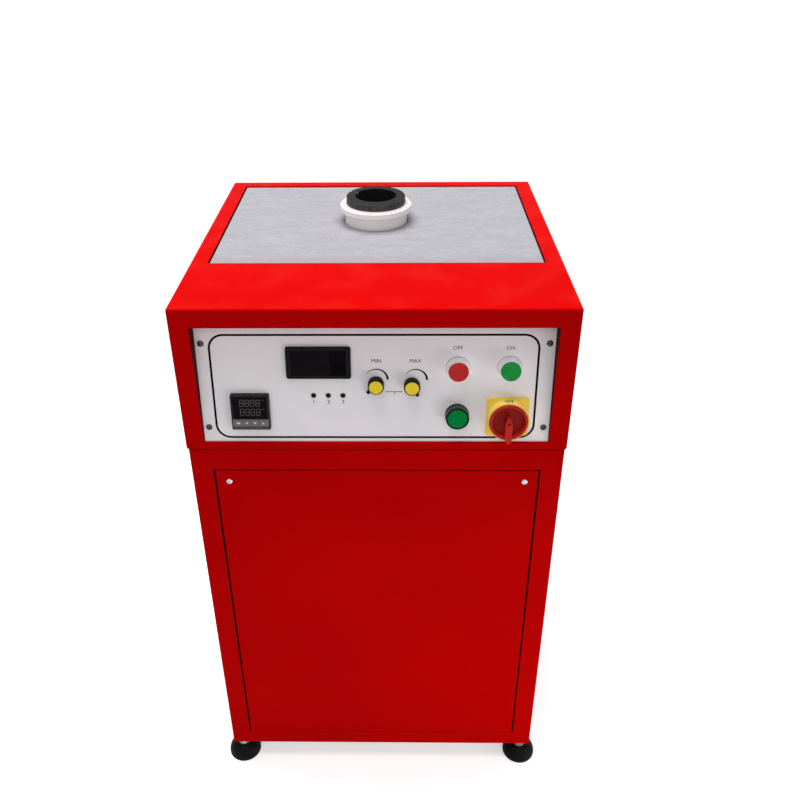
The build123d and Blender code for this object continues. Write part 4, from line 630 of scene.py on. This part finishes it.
knob_yellow = moulded("knob_yellow", (250, 224, 60), (244, 216, 54), 0.34, rub=0.2)
special = {
    "temperature_controller": controller_case(),
    "pilot_lamp_housing": pilot_body(),
    "min_power_knob_cap": knob_yellow,
    "max_power_knob_cap": knob_yellow,
}


def dress(piece, material):
    """Gives a solid or a piece one material in place of all that it has."""
    piece.data.materials.clear()
    piece.data.materials.append(material)


for part in frame["record"]["subparts"]:
    dress(nodes[part["node"]], special.get(part["node"], finishes[part["material_slot"]]))
print("finishes made:", len(bpy.data.materials))

# %% [markdown]
# ## Making a piece
# Each added piece is a mesh whose place is in its vertices, with its object at the origin, as the solids
# are. A drawing goes through one helper, which merges doubles and turns the faces outwards. Every mesh
# then goes through `hang`, which gives it a body and a finish, so no later cell can forget a step.


# %% Piece helpers
def mesh_of(name, shape):
    """Turns a drawing into a mesh, and lets the drawing go."""
    mesh = bpy.data.meshes.new(name)
    shape.to_mesh(mesh)
    shape.free()
    return mesh


def plain_mesh(thing):
    """The mesh of a thing as its modifiers leave it."""
    return bpy.data.meshes.new_from_object(thing.evaluated_get(bpy.context.evaluated_depsgraph_get()))


def hang(name, mesh, material, body, smooth=False):
    """Makes a mesh a piece of the furnace."""
    mesh.name = name
    for face in mesh.polygons:
        face.use_smooth = smooth
    piece = linked(name, mesh)
    dress(piece, material)
    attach(piece, body)
    print(name, len(mesh.polygons), "faces")
    return piece


def finish_piece(name, shape, material, body):
    """Makes a drawing a piece of the furnace."""
    bmesh.ops.remove_doubles(shape, verts=shape.verts, dist=0.001 * MM)
    bmesh.ops.recalc_face_normals(shape, faces=shape.faces)
    return hang(name, mesh_of(name, shape), material, body)


# %% Drawing helpers
def add_tube(shape, rings):
    """Adds a closed solid that runs through rings of equally many points."""
    rings = [[shape.verts.new(point) for point in ring] for ring in rings]
    shape.faces.new(rings[-1])
    shape.faces.new(rings[0][::-1])
    for lower, higher in zip(rings, rings[1:]):
        for index in range(len(lower)):
            after = (index + 1) % len(lower)
            shape.faces.new((lower[index], lower[after], higher[after], higher[index]))


def add_prism(shape, outline, low, high):
    """Adds a closed flat block: a corner list on the panel in millimetres, from low to high off its face."""
    add_tube(shape, [[on_panel(across, up, out) for across, up in outline] for out in (low, high)])


def add_strip(shape, left, right, low, high, closed):
    """Adds a band between two lines of equally many points, as short blocks that share their ends."""
    count = len(left)
    for index in range(count if closed else count - 1):
        after = (index + 1) % count
        add_prism(shape, [left[index], left[after], right[after], right[index]], low, high)


def rectangle(left, right, low, high):
    """The corners, anticlockwise from the lower left."""
    return [(left, low), (right, low), (right, high), (left, high)]


# %% [markdown]
# ## Printed lines
# The panel's lines are silk-screened ink, a few hundredths of a millimetre thick. As real thin strips
# they stay crisp at any distance, which a painted mask on a large face would not. The border is a
# round-cornered loop. The two arcs over the knobs swell from a hair to a stroke, so each is a band whose
# width grows along it.

# %% Ink
ink_height = 0.12
black_ink = moulded("black_ink", (4, 4, 5), (8, 7, 8), 0.5, rub=0.0, shine=0.03)


def rounded_loop(left, right, low, high, radius, steps=12):
    """The corners of a round-cornered rectangle, one quarter arc after another."""
    inner = rectangle(left + radius, right - radius, low + radius, high - radius)
    points = []
    for quarter, (across, up) in enumerate([inner[2], inner[3], inner[0], inner[1]]):
        for step in range(steps + 1):
            angle = radians(90 * (quarter + step / steps))
            points.append((across + radius * cos(angle), up + radius * sin(angle)))
    return points


# %% Border line
border_left, border_right, border_low, border_high = -200.9, 198.2, 6.6, 146.4
border_radius, border_width = 18.0, 2.7
edges = []
for grow in (border_width / 2, -border_width / 2):
    sides = (border_left - grow, border_right + grow, border_low - grow, border_high + grow)
    edges.append(rounded_loop(*sides, border_radius + grow))
shape = bmesh.new()
add_strip(shape, *edges, 0.0, ink_height, closed=True)
finish_piece("border_line", shape, black_ink, "cabinet")
print("border line", round(border_right - border_left), "mm wide")

# %% Knob arcs and the line that joins them
arc_steps = 24
arc_thin, arc_thick = 0.5, 2.8
arc_places = [((-10.2, 95.1), (0.7, 101.2), (15.4, 87.3)), ((38.3, 95.1), (49.3, 100.9), (63.6, 86.7))]
link_left, link_right, link_middle = 13.0, 33.6, 23.9
link_up, link_foot, link_half = 70.6, 66.9, 0.35


def circle_through(first, second, third):
    """The middle and radius of the circle through three points."""
    a, b, c = Vector(first), Vector(second), Vector(third)
    base = 2 * (a.x * (b.y - c.y) + b.x * (c.y - a.y) + c.x * (a.y - b.y))
    squares = [point.length_squared for point in (a, b, c)]
    x = (squares[0] * (b.y - c.y) + squares[1] * (c.y - a.y) + squares[2] * (a.y - b.y)) / base
    y = (squares[0] * (c.x - b.x) + squares[1] * (a.x - c.x) + squares[2] * (b.x - a.x)) / base
    middle = Vector((x, y))
    return middle, (a - middle).length


def add_arc(shape, start, top, end):
    """A clockwise arc through three places that swells from thin to thick."""
    middle, radius = circle_through(start, top, end)
    first = (Vector(start) - middle).angle_signed(Vector((1, 0)))
    last = (Vector(end) - middle).angle_signed(Vector((1, 0)))
    outside, inside = [], []
    for step in range(arc_steps + 1):
        share = step / arc_steps
        angle = first + (last - first) * share
        width = arc_thin + (arc_thick - arc_thin) * share
        ray = Vector((cos(angle), sin(angle)))
        outside.append(tuple(middle + ray * (radius + width / 2)))
        inside.append(tuple(middle + ray * (radius - width / 2)))
    add_strip(shape, outside, inside, 0.0, ink_height, closed=False)
    return radius


shape = bmesh.new()
arc_radii = [round(add_arc(shape, *places), 1) for places in arc_places]
line = rectangle(link_left, link_right, link_up - link_half, link_up + link_half)
stem = rectangle(link_middle - link_half, link_middle + link_half, link_foot, link_up - link_half)
for outline in (line, stem):
    add_prism(shape, outline, 0.0, ink_height)
finish_piece("knob_marks", shape, black_ink, "cabinet")
print("knob arcs, radii", arc_radii, "mm")

# %% [markdown]
# ## Plain lettering
# The controls have plain captions: MIN and MAX over the knobs, numbers under the alarm lamps, and ON and
# OFF at the buttons and the switch. A text curve is turned into a mesh first and only then moved onto the
# panel, because a text object's own place wouldn't be kept when the model is exported. It is drawn one
# metre tall and shrunk as a mesh, because corners a hair apart would melt together as the letter is filled.
# Its strokes may be swollen a little, but not an M's: the narrow steps at its shoulders would cross.


# %% Captions
def lettering(name, words, height, where, swell=0.0):
    """Plain words as thin ink, drawn upright at the origin and then moved to where a matrix says."""
    drawing = bpy.data.curves.new(name, "FONT")
    drawing.body = words
    drawing.size = 1.0
    drawing.align_x = "CENTER"
    drawing.align_y = "CENTER"
    drawing.offset = swell / height
    drawing.extrude = ink_height / 2 / height
    drawing.resolution_u = 3
    holder = linked(name, drawing)
    mesh = plain_mesh(holder)
    bpy.data.objects.remove(holder)
    mesh.transform(where @ Matrix.Translation((0, 0, ink_height / 2 * MM)) @ Matrix.Scale(height * MM, 4))
    mesh.name = name
    shape = bmesh.new()
    shape.from_mesh(mesh)
    bpy.data.meshes.remove(mesh)
    return finish_piece(name, shape, black_ink, "cabinet")


caption_height = 6.8
captions = {
    "min_caption": ("MIN", 1.4, 112.1),
    "max_caption": ("MAX", 49.3, 112.1),
    "stop_caption": ("OFF", 100.4, 129.2),
    "start_caption": ("ON", 164.1, 129.1),
    "alarm_1_caption": ("1", -76.5, 56.4),
    "alarm_2_caption": ("2", -58.3, 56.4),
    "alarm_3_caption": ("3", -40.1, 56.4),
}
for name, (words, across, up) in captions.items():
    lettering(name, words, caption_height, panel_matrix(across, up))

# %% Switch mark
mark_share, mark_height, mark_squeeze, mark_swell = 0.52, 9.4, 0.68, 0.12
slope = atan2(collar_foot[0] - collar_top[0], collar_top[1] - collar_foot[1])
mark_reach = collar_foot[0] + (collar_top[0] - collar_foot[0]) * mark_share
mark_out = collar_foot[1] + (collar_top[1] - collar_foot[1]) * mark_share
tip = Matrix.Rotation(slope - pi / 2, 4, "X") @ Matrix.Diagonal((mark_squeeze, 1, 1, 1))
mark_seat = panel_matrix(isolator_place[0], isolator_place[1] + mark_reach, mark_out) @ tip
lettering("switch_on_mark", "ON", mark_height, mark_seat, mark_swell)
print("switch mark", round(mark_out, 1), "mm out from the panel")

# %% [markdown]
# ## Seals and a rim
# A thin rubber seal keeps dust out between each silver ring and the panel. Only its edge shows, as a fine
# grey line round the ring. It is a round band, so the strip helper makes it from two circles of points.
# The pilot lamp's lens is held by a black rim, a little wider than its body, made in the same way.

# %% Seals and pilot lamp rim
round_steps = 64
seal_sizes = {"inner": 14.4, "outer": 14.8, "low": 0.0, "high": 0.3}
rim_sizes = {"inner": 12.6, "outer": 14.4, "low": 11.5, "high": 13.2}
seal_rubber = moulded("seal_rubber", (104, 103, 104), (92, 91, 92), 0.5)
rim_black = moulded("rim_black", (13, 15, 14), (18, 20, 19), 0.3, rub=0.1, shine=0.05)


def add_ring(name, place, material, slot, inner, outer, low, high):
    """A flat ring round a place on the panel."""
    turns = [2 * pi * step / round_steps for step in range(round_steps)]
    edges = [[(place[0] + r * cos(t), place[1] + r * sin(t)) for t in turns] for r in (outer, inner)]
    shape = bmesh.new()
    add_strip(shape, *edges, low, high, closed=True)
    finish_piece(name, shape, material, "cabinet")


add_ring("stop_seal", stop_place, seal_rubber, "hose_rubber", **seal_sizes)
add_ring("start_seal", start_place, seal_rubber, "hose_rubber", **seal_sizes)
add_ring("pilot_rim", pilot_place, rim_black, "black_plastic", **rim_sizes)

# %% [markdown]
# ## Geometry Nodes for what repeats
# Screws, display bars and stray fibres are all the same idea: copies of one small shape, set on points
# and turned to match. Geometry Nodes do that once. Three helpers serve every tree: one opens a tree with
# its named inputs, one ends it, and one grows a mesh from it. The result is a plain mesh with the
# modifier gone, because only a mesh keeps its shape and place when the model is exported.


# %% Tree helpers
def open_tree(name, kinds):
    """Opens a tree with named inputs. Returns its recipe, and its inputs by their names."""
    tree = bpy.data.node_groups.new(name, "GeometryNodeTree")
    for title, kind in kinds.items():
        tree.interface.new_socket(name=title, in_out="INPUT", socket_type=f"NodeSocket{kind}")
    tree.interface.new_socket(name="Result", in_out="OUTPUT", socket_type="NodeSocketGeometry")
    recipe = Recipe(tree)
    entry = tree.nodes.new("NodeGroupInput")
    return recipe, {title: Field(recipe, entry.outputs[title]) for title in kinds}


def end_tree(recipe, copies, finish):
    """Makes the copies real, gives them their finish and sends them out."""
    real = recipe.node("GeometryNodeRealizeInstances", None, {0: copies})
    dressed = recipe.node("GeometryNodeSetMaterial", None, {"Geometry": real, "Material": finish})
    recipe.node("NodeGroupOutput", None, {0: dressed})


def grown(name, points, recipe, values):
    """The plain mesh that a tree makes of some points, with the inputs set before it is first worked out."""
    carrier = linked(f"{name}_carrier", points)
    modifier = carrier.modifiers.new("grow", "NODES")
    modifier.node_group = recipe.tree
    for item in recipe.tree.interface.items_tree:
        if item.in_out == "INPUT" and item.name in values:
            modifier[item.identifier] = values[item.name]
    bpy.context.view_layer.update()
    mesh = plain_mesh(carrier)
    bpy.data.objects.remove(carrier)
    return mesh


# %% [markdown]
# ## A tree that places copies
# Each point carries two vectors, `out` for the shape's Z and `along` for its X, and Axes to Rotation makes
# the turn. `Spin` adds a random turn about Z and `Size Spread` makes some copies smaller, both with a
# fixed seed, because no fitter leaves all screw slots in line. The tree realizes its copies at the end.

# %% Placing tree
place_inputs = {
    "Points": "Geometry",
    "Piece": "Object",
    "Size": "Float",
    "Size Spread": "Float",
    "Spin": "Float",
    "Seed": "Int",
    "Finish": "Material",
}
place_tree, given = open_tree("place_copies", place_inputs)
node = place_tree.node
number, vector = {"data_type": "FLOAT"}, {"data_type": "FLOAT_VECTOR"}
out = node("GeometryNodeInputNamedAttribute", vector, {"Name": "out"})
along = node("GeometryNodeInputNamedAttribute", vector, {"Name": "along"})
axes = {"primary_axis": "Z", "secondary_axis": "X"}
turn = node("FunctionNodeAxesToRotation", axes, {"Primary Axis": out, "Secondary Axis": along})
smallest = given["Size"] - given["Size Spread"]
spin, size = [
    node("FunctionNodeRandomValue", number, {2: low, 3: high, "Seed": given["Seed"]}, output=1)
    for low, high in ((0.0, given["Spin"]), (smallest, given["Size"]))
]
about = node("FunctionNodeAxisAngleToRotation", None, {"Axis": up_way, "Angle": spin})
both = node("FunctionNodeRotateRotation", {"rotation_space": "LOCAL"}, {0: turn, 1: about})
piece = node("GeometryNodeObjectInfo", None, {0: given["Piece"]}, output="Geometry")
setting = {"Points": given["Points"], "Instance": piece, "Rotation": both, "Scale": size}
end_tree(place_tree, node("GeometryNodeInstanceOnPoints", None, setting), given["Finish"])


# %% Placing copies
def placed(name, seats, sample, material, slot, **choices):
    """A piece of copies of a sample, one on each seat: a place with its out and along directions."""
    points = bpy.data.meshes.new(f"{name}_points")
    points.from_pydata([tuple(place) for place, _, _ in seats], [], [])
    for title, index in (("out", 1), ("along", 2)):
        layer = points.attributes.new(title, "FLOAT_VECTOR", "POINT")
        for number, seat in enumerate(seats):
            layer.data[number].vector = tuple(seat[index])
    values = {"Size": 1.0, "Size Spread": 0.0, "Spin": 0.0, "Seed": 1, "Piece": sample, "Finish": material}
    mesh = grown(name, points, place_tree, {**values, **choices})
    bpy.data.objects.remove(sample)
    return hang(name, mesh, material, "cabinet")


# %% [markdown]
# ## Cover screws
# A pan-head screw is a low dome with a cross cut into it. The dome is a profile spun round, and the cross
# is taken out by a Boolean, which keeps the recess's walls sharp. All sixteen come from one sample. Their
# seats are worked out from the panels that they hold, in the maker's own measures, so each sits on its
# plain solid screw.

# %% Screw sample
screw_radius, screw_height, screw_brim = 4.0, 2.2, 0.5
screw_steps, dome_steps = 32, 6
recess_length, recess_width, recess_depth = 4.8 * MM, 1.1 * MM, 1.4 * MM


def lathe(profile, steps):
    """Spins a profile of radius and height pairs, in metres, into a closed solid round Z."""
    shape = bmesh.new()
    angles = [2 * pi * step / steps for step in range(steps)]
    rings = []
    for radius, height in profile:
        spots = [(radius * cos(angle), radius * sin(angle), height) for angle in angles]
        rings.append([shape.verts.new(spot) for spot in (spots if radius else spots[:1])])
    for lower, higher in zip(rings, rings[1:]):
        for step in range(steps):
            after = (step + 1) % steps
            corners = [lower[step % len(lower)], lower[after % len(lower)]]
            corners += [higher[after % len(higher)], higher[step % len(higher)]]
            shape.faces.new(list(dict.fromkeys(corners)))
    bmesh.ops.recalc_face_normals(shape, faces=shape.faces)
    return shape


def cut(target, tool):
    """Takes one sample out of another with an exact Boolean, and keeps the result as a plain mesh."""
    modifier = target.modifiers.new("cut", "BOOLEAN")
    modifier.operation = "DIFFERENCE"
    modifier.solver = "EXACT"
    modifier.object = tool
    bpy.context.view_layer.update()
    made = plain_mesh(target)
    target.modifiers.clear()
    target.data = made
    bpy.data.objects.remove(tool)


dome = [(0, 0), (screw_radius * MM, 0), (screw_radius * MM, screw_brim * MM)]
for step in range(1, dome_steps):
    angle = radians(90 * step / dome_steps)
    rise = screw_brim + (screw_height - screw_brim) * sin(angle)
    dome.append((screw_radius * cos(angle) * MM, rise * MM))
dome.append((0, screw_height * MM))
screw = linked("screw_sample", mesh_of("screw_sample", lathe(dome, screw_steps)))
for length, width in ((recess_length, recess_width), (recess_width, recess_length)):
    bar = bmesh.new()
    bmesh.ops.create_cube(bar, size=1.0)
    bmesh.ops.scale(bar, vec=(length, width, recess_depth * 2), verts=bar.verts)
    bmesh.ops.translate(bar, vec=(0, 0, screw_height * MM), verts=bar.verts)
    cut(screw, linked("recess_bar", mesh_of("recess_bar", bar)))
print("screw sample:", len(screw.data.polygons), "faces")

# %% Screw seats
panel_screw_half, panel_screw_rows = 210.5, (21.0, 135.3)
door_inset, rear_inset, lug_radius = 17.0 * MM, 6.0 * MM, 6.0 * MM
rear_sheet = 1.5 * MM
door_low, door_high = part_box("front_access_panel")
rear_low, rear_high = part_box("rear_panel")
guard_low, guard_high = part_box("fan_guard")
_, cabinet_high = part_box("cabinet_shell")

door_sides = (door_low.x + door_inset, door_high.x - door_inset)
rear_sides = (rear_low.x + rear_inset, rear_high.x - rear_inset)
rear_heights = (rear_low.z + rear_inset, (rear_low.z + rear_high.z) / 2, rear_high.z - rear_inset)
seats = []
for side, door_x, rear_x in zip((-1, 1), door_sides, rear_sides):
    seats += [(on_panel(side * panel_screw_half, up), outward, side_way) for up in panel_screw_rows]
    seats.append((Vector((door_x, door_low.y, door_high.z - door_inset)), -back_way, side_way))
    for rear_z in rear_heights:
        seats.append((Vector((rear_x, cabinet_high.y + rear_sheet, rear_z)), back_way, side_way))
for guard_x in (guard_low.x + lug_radius, guard_high.x - lug_radius):
    for guard_z in (guard_low.z + lug_radius, guard_high.z - lug_radius):
        seats.append((Vector((guard_x, guard_high.y, guard_z)), back_way, side_way))
screw_finish = finishes["screw_chrome"]
screws = placed("cover_screw_heads", seats, screw, screw_finish, "screw_chrome", Spin=pi, Seed=7)
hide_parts("cover_screws")

# %% [markdown]
# ## The fan's wire guard
# A finger guard is rings of round wire, welded to four arms that end in loops for the screws. Its shape
# is a rule, so it suits a tree: circles of growing radius are realized and get a round section, and one
# arm is made once and set round the middle. The tree's Z is the wind's direction, and the finished mesh is
# stood up against the rear panel.

# %% Guard tree
wire_sides, loop_steps = 8, 20
guard_inputs = {
    "Rings": "Int",
    "Arms": "Int",
    "Outer Radius": "Float",
    "Arm Reach": "Float",
    "Loop Radius": "Float",
    "Wire Radius": "Float",
    "Finish": "Material",
}
guard_tree, given = open_tree("wire_guard", guard_inputs)
node = guard_tree.node


def circle(radius, steps):
    """A round line about the origin."""
    return node("GeometryNodeCurvePrimitiveCircle", None, {"Resolution": steps, "Radius": radius})


def spot(axis, distance):
    """A place on one axis, at a distance from the origin."""
    return node("ShaderNodeCombineXYZ", None, {axis: distance})


section = circle(given["Wire Radius"], wire_sides)
index = node("GeometryNodeInputIndex")
ring_radius = (index + 1) / given["Rings"] * given["Outer Radius"]
ring_points = node("GeometryNodePoints", None, {"Count": given["Rings"]})
ring_setting = {"Points": ring_points, "Instance": circle(1.0, round_steps), "Scale": ring_radius}
ring_copies = node("GeometryNodeInstanceOnPoints", None, ring_setting)
ring_lines = node("GeometryNodeRealizeInstances", None, {0: ring_copies})
rings = node("GeometryNodeCurveToMesh", None, {"Curve": ring_lines, "Profile Curve": section})
arm_end = spot("X", given["Arm Reach"] - given["Loop Radius"])
arm_line = node("GeometryNodeCurvePrimitiveLine", None, {"End": arm_end})
loop_line = circle(given["Loop Radius"], loop_steps)
loop_setting = {"Geometry": loop_line, "Translation": spot("X", given["Arm Reach"])}
loop = node("GeometryNodeTransform", None, loop_setting)
arm_curves = node("GeometryNodeJoinGeometry", None, {0: [arm_line, loop]})
arm_setting = {"Curve": arm_curves, "Profile Curve": section, "Fill Caps": True}
arm = node("GeometryNodeCurveToMesh", None, arm_setting)
arm_angle = index / given["Arms"] * (2 * pi) + pi / 4
arm_turn = node("FunctionNodeAxisAngleToRotation", None, {"Axis": up_way, "Angle": arm_angle})
arm_seats = {"Count": given["Arms"], "Position": spot("Z", given["Wire Radius"])}
arms_setting = {"Points": node("GeometryNodePoints", None, arm_seats), "Instance": arm, "Rotation": arm_turn}
arms = node("GeometryNodeInstanceOnPoints", None, arms_setting)
end_tree(guard_tree, node("GeometryNodeJoinGeometry", None, {0: [rings, arms]}), given["Finish"])

# %% Guard
guard_wire = 0.8 * MM
guard_steel = finishes["zinc_steel"]
guard_middle = (guard_low + guard_high) / 2
hole_reach = (guard_high.x - guard_low.x) / 2 - lug_radius
guard_sizes = {
    "Rings": 5,
    "Arms": 4,
    "Outer Radius": 56 * MM,
    "Arm Reach": hole_reach * 2**0.5,
    "Loop Radius": 3.8 * MM,
    "Wire Radius": guard_wire,
    "Finish": guard_steel,
}
guard_mesh = grown("guard", bpy.data.meshes.new("guard_points"), guard_tree, guard_sizes)
guard_seat = Vector((guard_middle.x, guard_high.y - 2 * guard_wire, guard_middle.z))
guard_mesh.transform(Matrix.Translation(guard_seat) @ Matrix.Rotation(-pi / 2, 4, "X"))
guard = hang("fan_wire_guard", guard_mesh, guard_steel, "cabinet", smooth=True)
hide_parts("fan_guard")

# %% [markdown]
# ## Loose fibres at the board's edges
# Sawn fibre board is fuzzy at its edges. A few hundred short bent slivers, leaning every way along the
# cut, break its hard outline. Their seats come from a random generator with a fixed seed, so that the
# board frays in the same places every time. A sliver has only eight faces, because there are so many.

# %% Fibres
fibre_count = 420
fibre_length, fibre_thickness, fibre_root = 2.6 * MM, 0.13 * MM, 0.4 * MM
fibre_bends, root_girth = ((0.0, 0.0), (0.5, 0.12), (1.0, 0.5)), 1.2
fibre_choices = {"Size Spread": 0.6, "Spin": 0.8, "Seed": 3}
share_range, aside_range, rise_range, drop_range = (0.01, 0.99), (-1.2, 1.2), (0.0, 0.5), (0.1, 1.2)

sliver_rings = []
for share, bend in fibre_bends:
    girth = fibre_thickness * (root_girth - share)
    middle = Vector((bend * fibre_length * share, 0, share * fibre_length))
    angles = (0, 2 * pi / 3, 4 * pi / 3)
    sliver_rings.append([middle + Vector((girth * cos(angle), girth * sin(angle), 0)) for angle in angles])
sliver = bmesh.new()
add_tube(sliver, sliver_rings)
sliver_sample = linked("sliver", mesh_of("sliver", sliver))

board_low, board_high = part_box("top_board")
corners = [Vector(corner) for corner in rectangle(board_low.x, board_high.x, board_low.y, board_high.y)]
front_left, front_right, back_right, back_left = corners
runs = {
    "front": (front_left, front_right, -back_way),
    "back": (back_left, back_right, back_way),
    "left": (front_left, back_left, -side_way),
    "right": (front_right, back_right, side_way),
}
chance = random.Random(11)
fibre_seats = []
for start, end, away in runs.values():
    for _ in range(fibre_count // len(runs)):
        spot_on_edge = start.lerp(end, chance.uniform(*share_range))
        aside = (chance.uniform(*aside_range), chance.uniform(*aside_range))
        lean = Vector((away.x + aside[0], away.y + aside[1], chance.uniform(*rise_range)))
        drop = chance.uniform(*drop_range) * MM
        root = spot_on_edge - away.xy * fibre_root
        fibre_seats.append((Vector((root.x, root.y, board_high.z - drop)), lean.normalized(), -up_way))
fibre_finish = finishes["fibre_board"]
placed("board_fibres", fibre_seats, sliver_sample, fibre_finish, "fibre_board", **fibre_choices)

# %% [markdown]
# ## The controller's unlit digits
# A seven-segment digit is seven pointed bars. One bar is drawn once, and its seats say where it goes and
# which way it lies. Unlit, each bar still shows as a dim grey shape behind the smoked window, so all
# eight digits read as plain eights. A small mark after each row is where the unit lights up.

# %% Digit bars
digit_pitch, digit_width, digit_height, digit_lean = 6.7, 4.4, 8.8, 0.08
digit_rows = (13.1, 0.5)
digit_columns = (-1.5, -0.5, 0.5, 1.5)
bar_thickness, bar_size, window_out = 0.9, 0.92, 6.6
bar_taper_x, bar_taper_y = 0.98, 0.9
dim_segment = moulded("dim_segment", (112, 104, 104), (98, 92, 93), 0.4, rub=0.0)

tip_x, tip_y = digit_width / 2 * MM, bar_thickness / 2 * MM
shoulder = tip_x - tip_y
bar_outline = [(-tip_x, 0), (-shoulder, -tip_y), (shoulder, -tip_y)]
bar_outline += [(-x, -y) for x, y in bar_outline]
bar_foot = [(x, y, 0) for x, y in bar_outline]
bar_face = [(x * bar_taper_x, y * bar_taper_y, ink_height * MM) for x, y in bar_outline]
bar = bmesh.new()
add_tube(bar, [bar_foot, bar_face])
bar_sample = linked("bar", mesh_of("bar", bar))

lean_way = (upward + digit_lean * side_way).normalized()
level_bars = [(0, level, side_way) for level in (-1, 0, 1)]
upright_bars = [(side, level, lean_way) for level in (-0.5, 0.5) for side in (-1, 1)]
digit_seats = []
for row in digit_rows:
    for column in digit_columns:
        for side, level, way in level_bars + upright_bars:
            rise = level * digit_height / 2
            across = controller_place[0] + column * digit_pitch + side * digit_width / 2 + digit_lean * rise
            digit_seats.append((on_panel(across, controller_place[1] + row + rise, window_out), outward, way))
placed("digit_bars", digit_seats, bar_sample, dim_segment, "dark_window", Size=bar_size)

# %% Unit marks
mark_across, mark_rise = 16.3, 3.9
mark_length, mark_width = 2.6, 1.0
shape = bmesh.new()
for row in digit_rows:
    left = controller_place[0] + mark_across - mark_length / 2
    low = controller_place[1] + row + mark_rise - mark_width / 2
    right, high = left + mark_length, low + mark_width
    outline = [(left, low + mark_width / 2), (right, low), (right - mark_width / 2, high), (left, high)]
    add_prism(shape, outline, window_out, window_out + ink_height)
finish_piece("unit_marks", shape, dim_segment, "cabinet")

# %% [markdown]
# ## Key symbols
# The four keys carry plain signs: a square for set, and arrows for shift, down and up. Each sign rides on
# its own key, so it sinks with the key when pressed.

# %% Key signs
sign_ink = moulded("sign_ink", (232, 228, 228), (222, 218, 218), 0.4, rub=0.0)
key_out, key_row, key_pitch = 7.8, -14.2, 10.3
signs = {
    "key_set": rectangle(-2.2, 2.2, -1.2, 1.2),
    "key_shift": [(-1.7, 0), (1.3, -1.6), (1.3, 1.6)],
    "key_down": [(0, -1.5), (1.7, 1.4), (-1.7, 1.4)],
    "key_up": [(0, 1.5), (-1.7, -1.4), (1.7, -1.4)],
}
for index, (key, outline) in enumerate(signs.items()):
    middle_x = controller_place[0] + (index - (len(signs) - 1) / 2) * key_pitch
    middle_y = controller_place[1] + key_row
    shape = bmesh.new()
    add_prism(shape, [(middle_x + x, middle_y + y) for x, y in outline], key_out, key_out + ink_height)
    finish_piece(f"{key}_sign", shape, sign_ink, key)

# %% [markdown]
# ## The floor and the light
# A product stands on a pale floor under a large soft lamp. The top faces get most of the light and the
# front about half as much, as in a room lit from the ceiling. The world is white where the camera, a
# reflection or a clear part looks at it, and dimmer as a light, so the background is white without
# washing out the paint. The floor does the same: it is a white floor to whoever looks at it, it glows
# white further out, and to the furnace it is a plain grey floor that sends up less light.

# %% World
ambient_light, seen_light = 0.32, 1.0
white_light = (1, 1, 1, 1)
world = bpy.data.worlds.new("studio")
bpy.context.scene.world = world
world.use_nodes = True
world.node_tree.nodes.clear()
sky = Recipe(world.node_tree)
dim, bright = [
    sky.node("ShaderNodeBackground", None, {"Color": white_light, "Strength": strength})
    for strength in (ambient_light, seen_light)
]
choice = sky.node("ShaderNodeMixShader", None, {0: sky.looked_at(), 1: dim, 2: bright})
sky.node("ShaderNodeOutputWorld", None, {0: choice})

# %% Floor
floor_reach = 40.0
shadow_reach, white_from = 0.9, 2.2
floor_glow = 0.42
black, white = (0, 0, 0), (255, 255, 255)
floor_shape = bmesh.new()
bmesh.ops.create_grid(floor_shape, x_segments=1, y_segments=1, size=floor_reach)
floor = linked("floor", mesh_of("floor", floor_shape))
ground = Finish("floor", Roughness=0.9, Specular_IOR_Level=0.05, Emission_Strength=1.0)
seen = ground.looked_at()
length = {"operation": "LENGTH"}
distance = ground.node("ShaderNodeVectorMath", length, {0: ground.place()}, output="Value")
far = ground.spread(distance, shadow_reach, white_from)
near_white = ground.mix(ground.patches(0.05, detail=3.0, low=0.3, high=0.7), (246, 246, 247), (251, 251, 251))
ground.feed("Base Color", ground.mix(seen, (182, 180, 180), ground.mix(far, near_white, black)))
ground.feed("Emission Color", ground.mix(seen * ground.between(far, floor_glow, 1.0), black, white))
dress(floor, ground.material)
print("floor", 2 * floor_reach, "m wide")


# %% Lamps
def lamp(name, place, target, width, height, level, cone=180):
    """A soft rectangular lamp that lights a face turned to it, at the target, at about a level."""
    light = bpy.data.lights.new(name, "AREA")
    light.shape = "RECTANGLE"
    light.size = width
    light.size_y = height
    light.spread = radians(cone)
    reach = Vector(target) - Vector(place)
    light.energy = level * pi**2 * reach.length**2
    aim = reach.to_track_quat("-Z", "Y")
    linked(name, light).matrix_world = Matrix.Translation(place) @ aim.to_matrix().to_4x4()
    print(name, round(light.energy), "watts")


head_middle = (head_low + head_high) / 2
door_aim = (0.18, head_low.y, 0.16)
head_aim = (0, head_low.y, 0.7)
lamp("ceiling_lamp", (-0.2, 0.2, 3.3), head_middle, width=2.1, height=2.1, level=1.5)
lamp("low_right_lamp", (0.95, -0.85, 0.1), door_aim, width=1.1, height=0.5, level=0.24, cone=80)
lamp("front_lamp", (-0.4, -2.4, 2.2), head_aim, width=1.5, height=1.5, level=0.17)

# %% [markdown]
# ## Picture settings
# The Standard view shows a colour as it is written, without a film look.

# %% Finish
bpy.context.scene.view_settings.view_transform = "Standard"
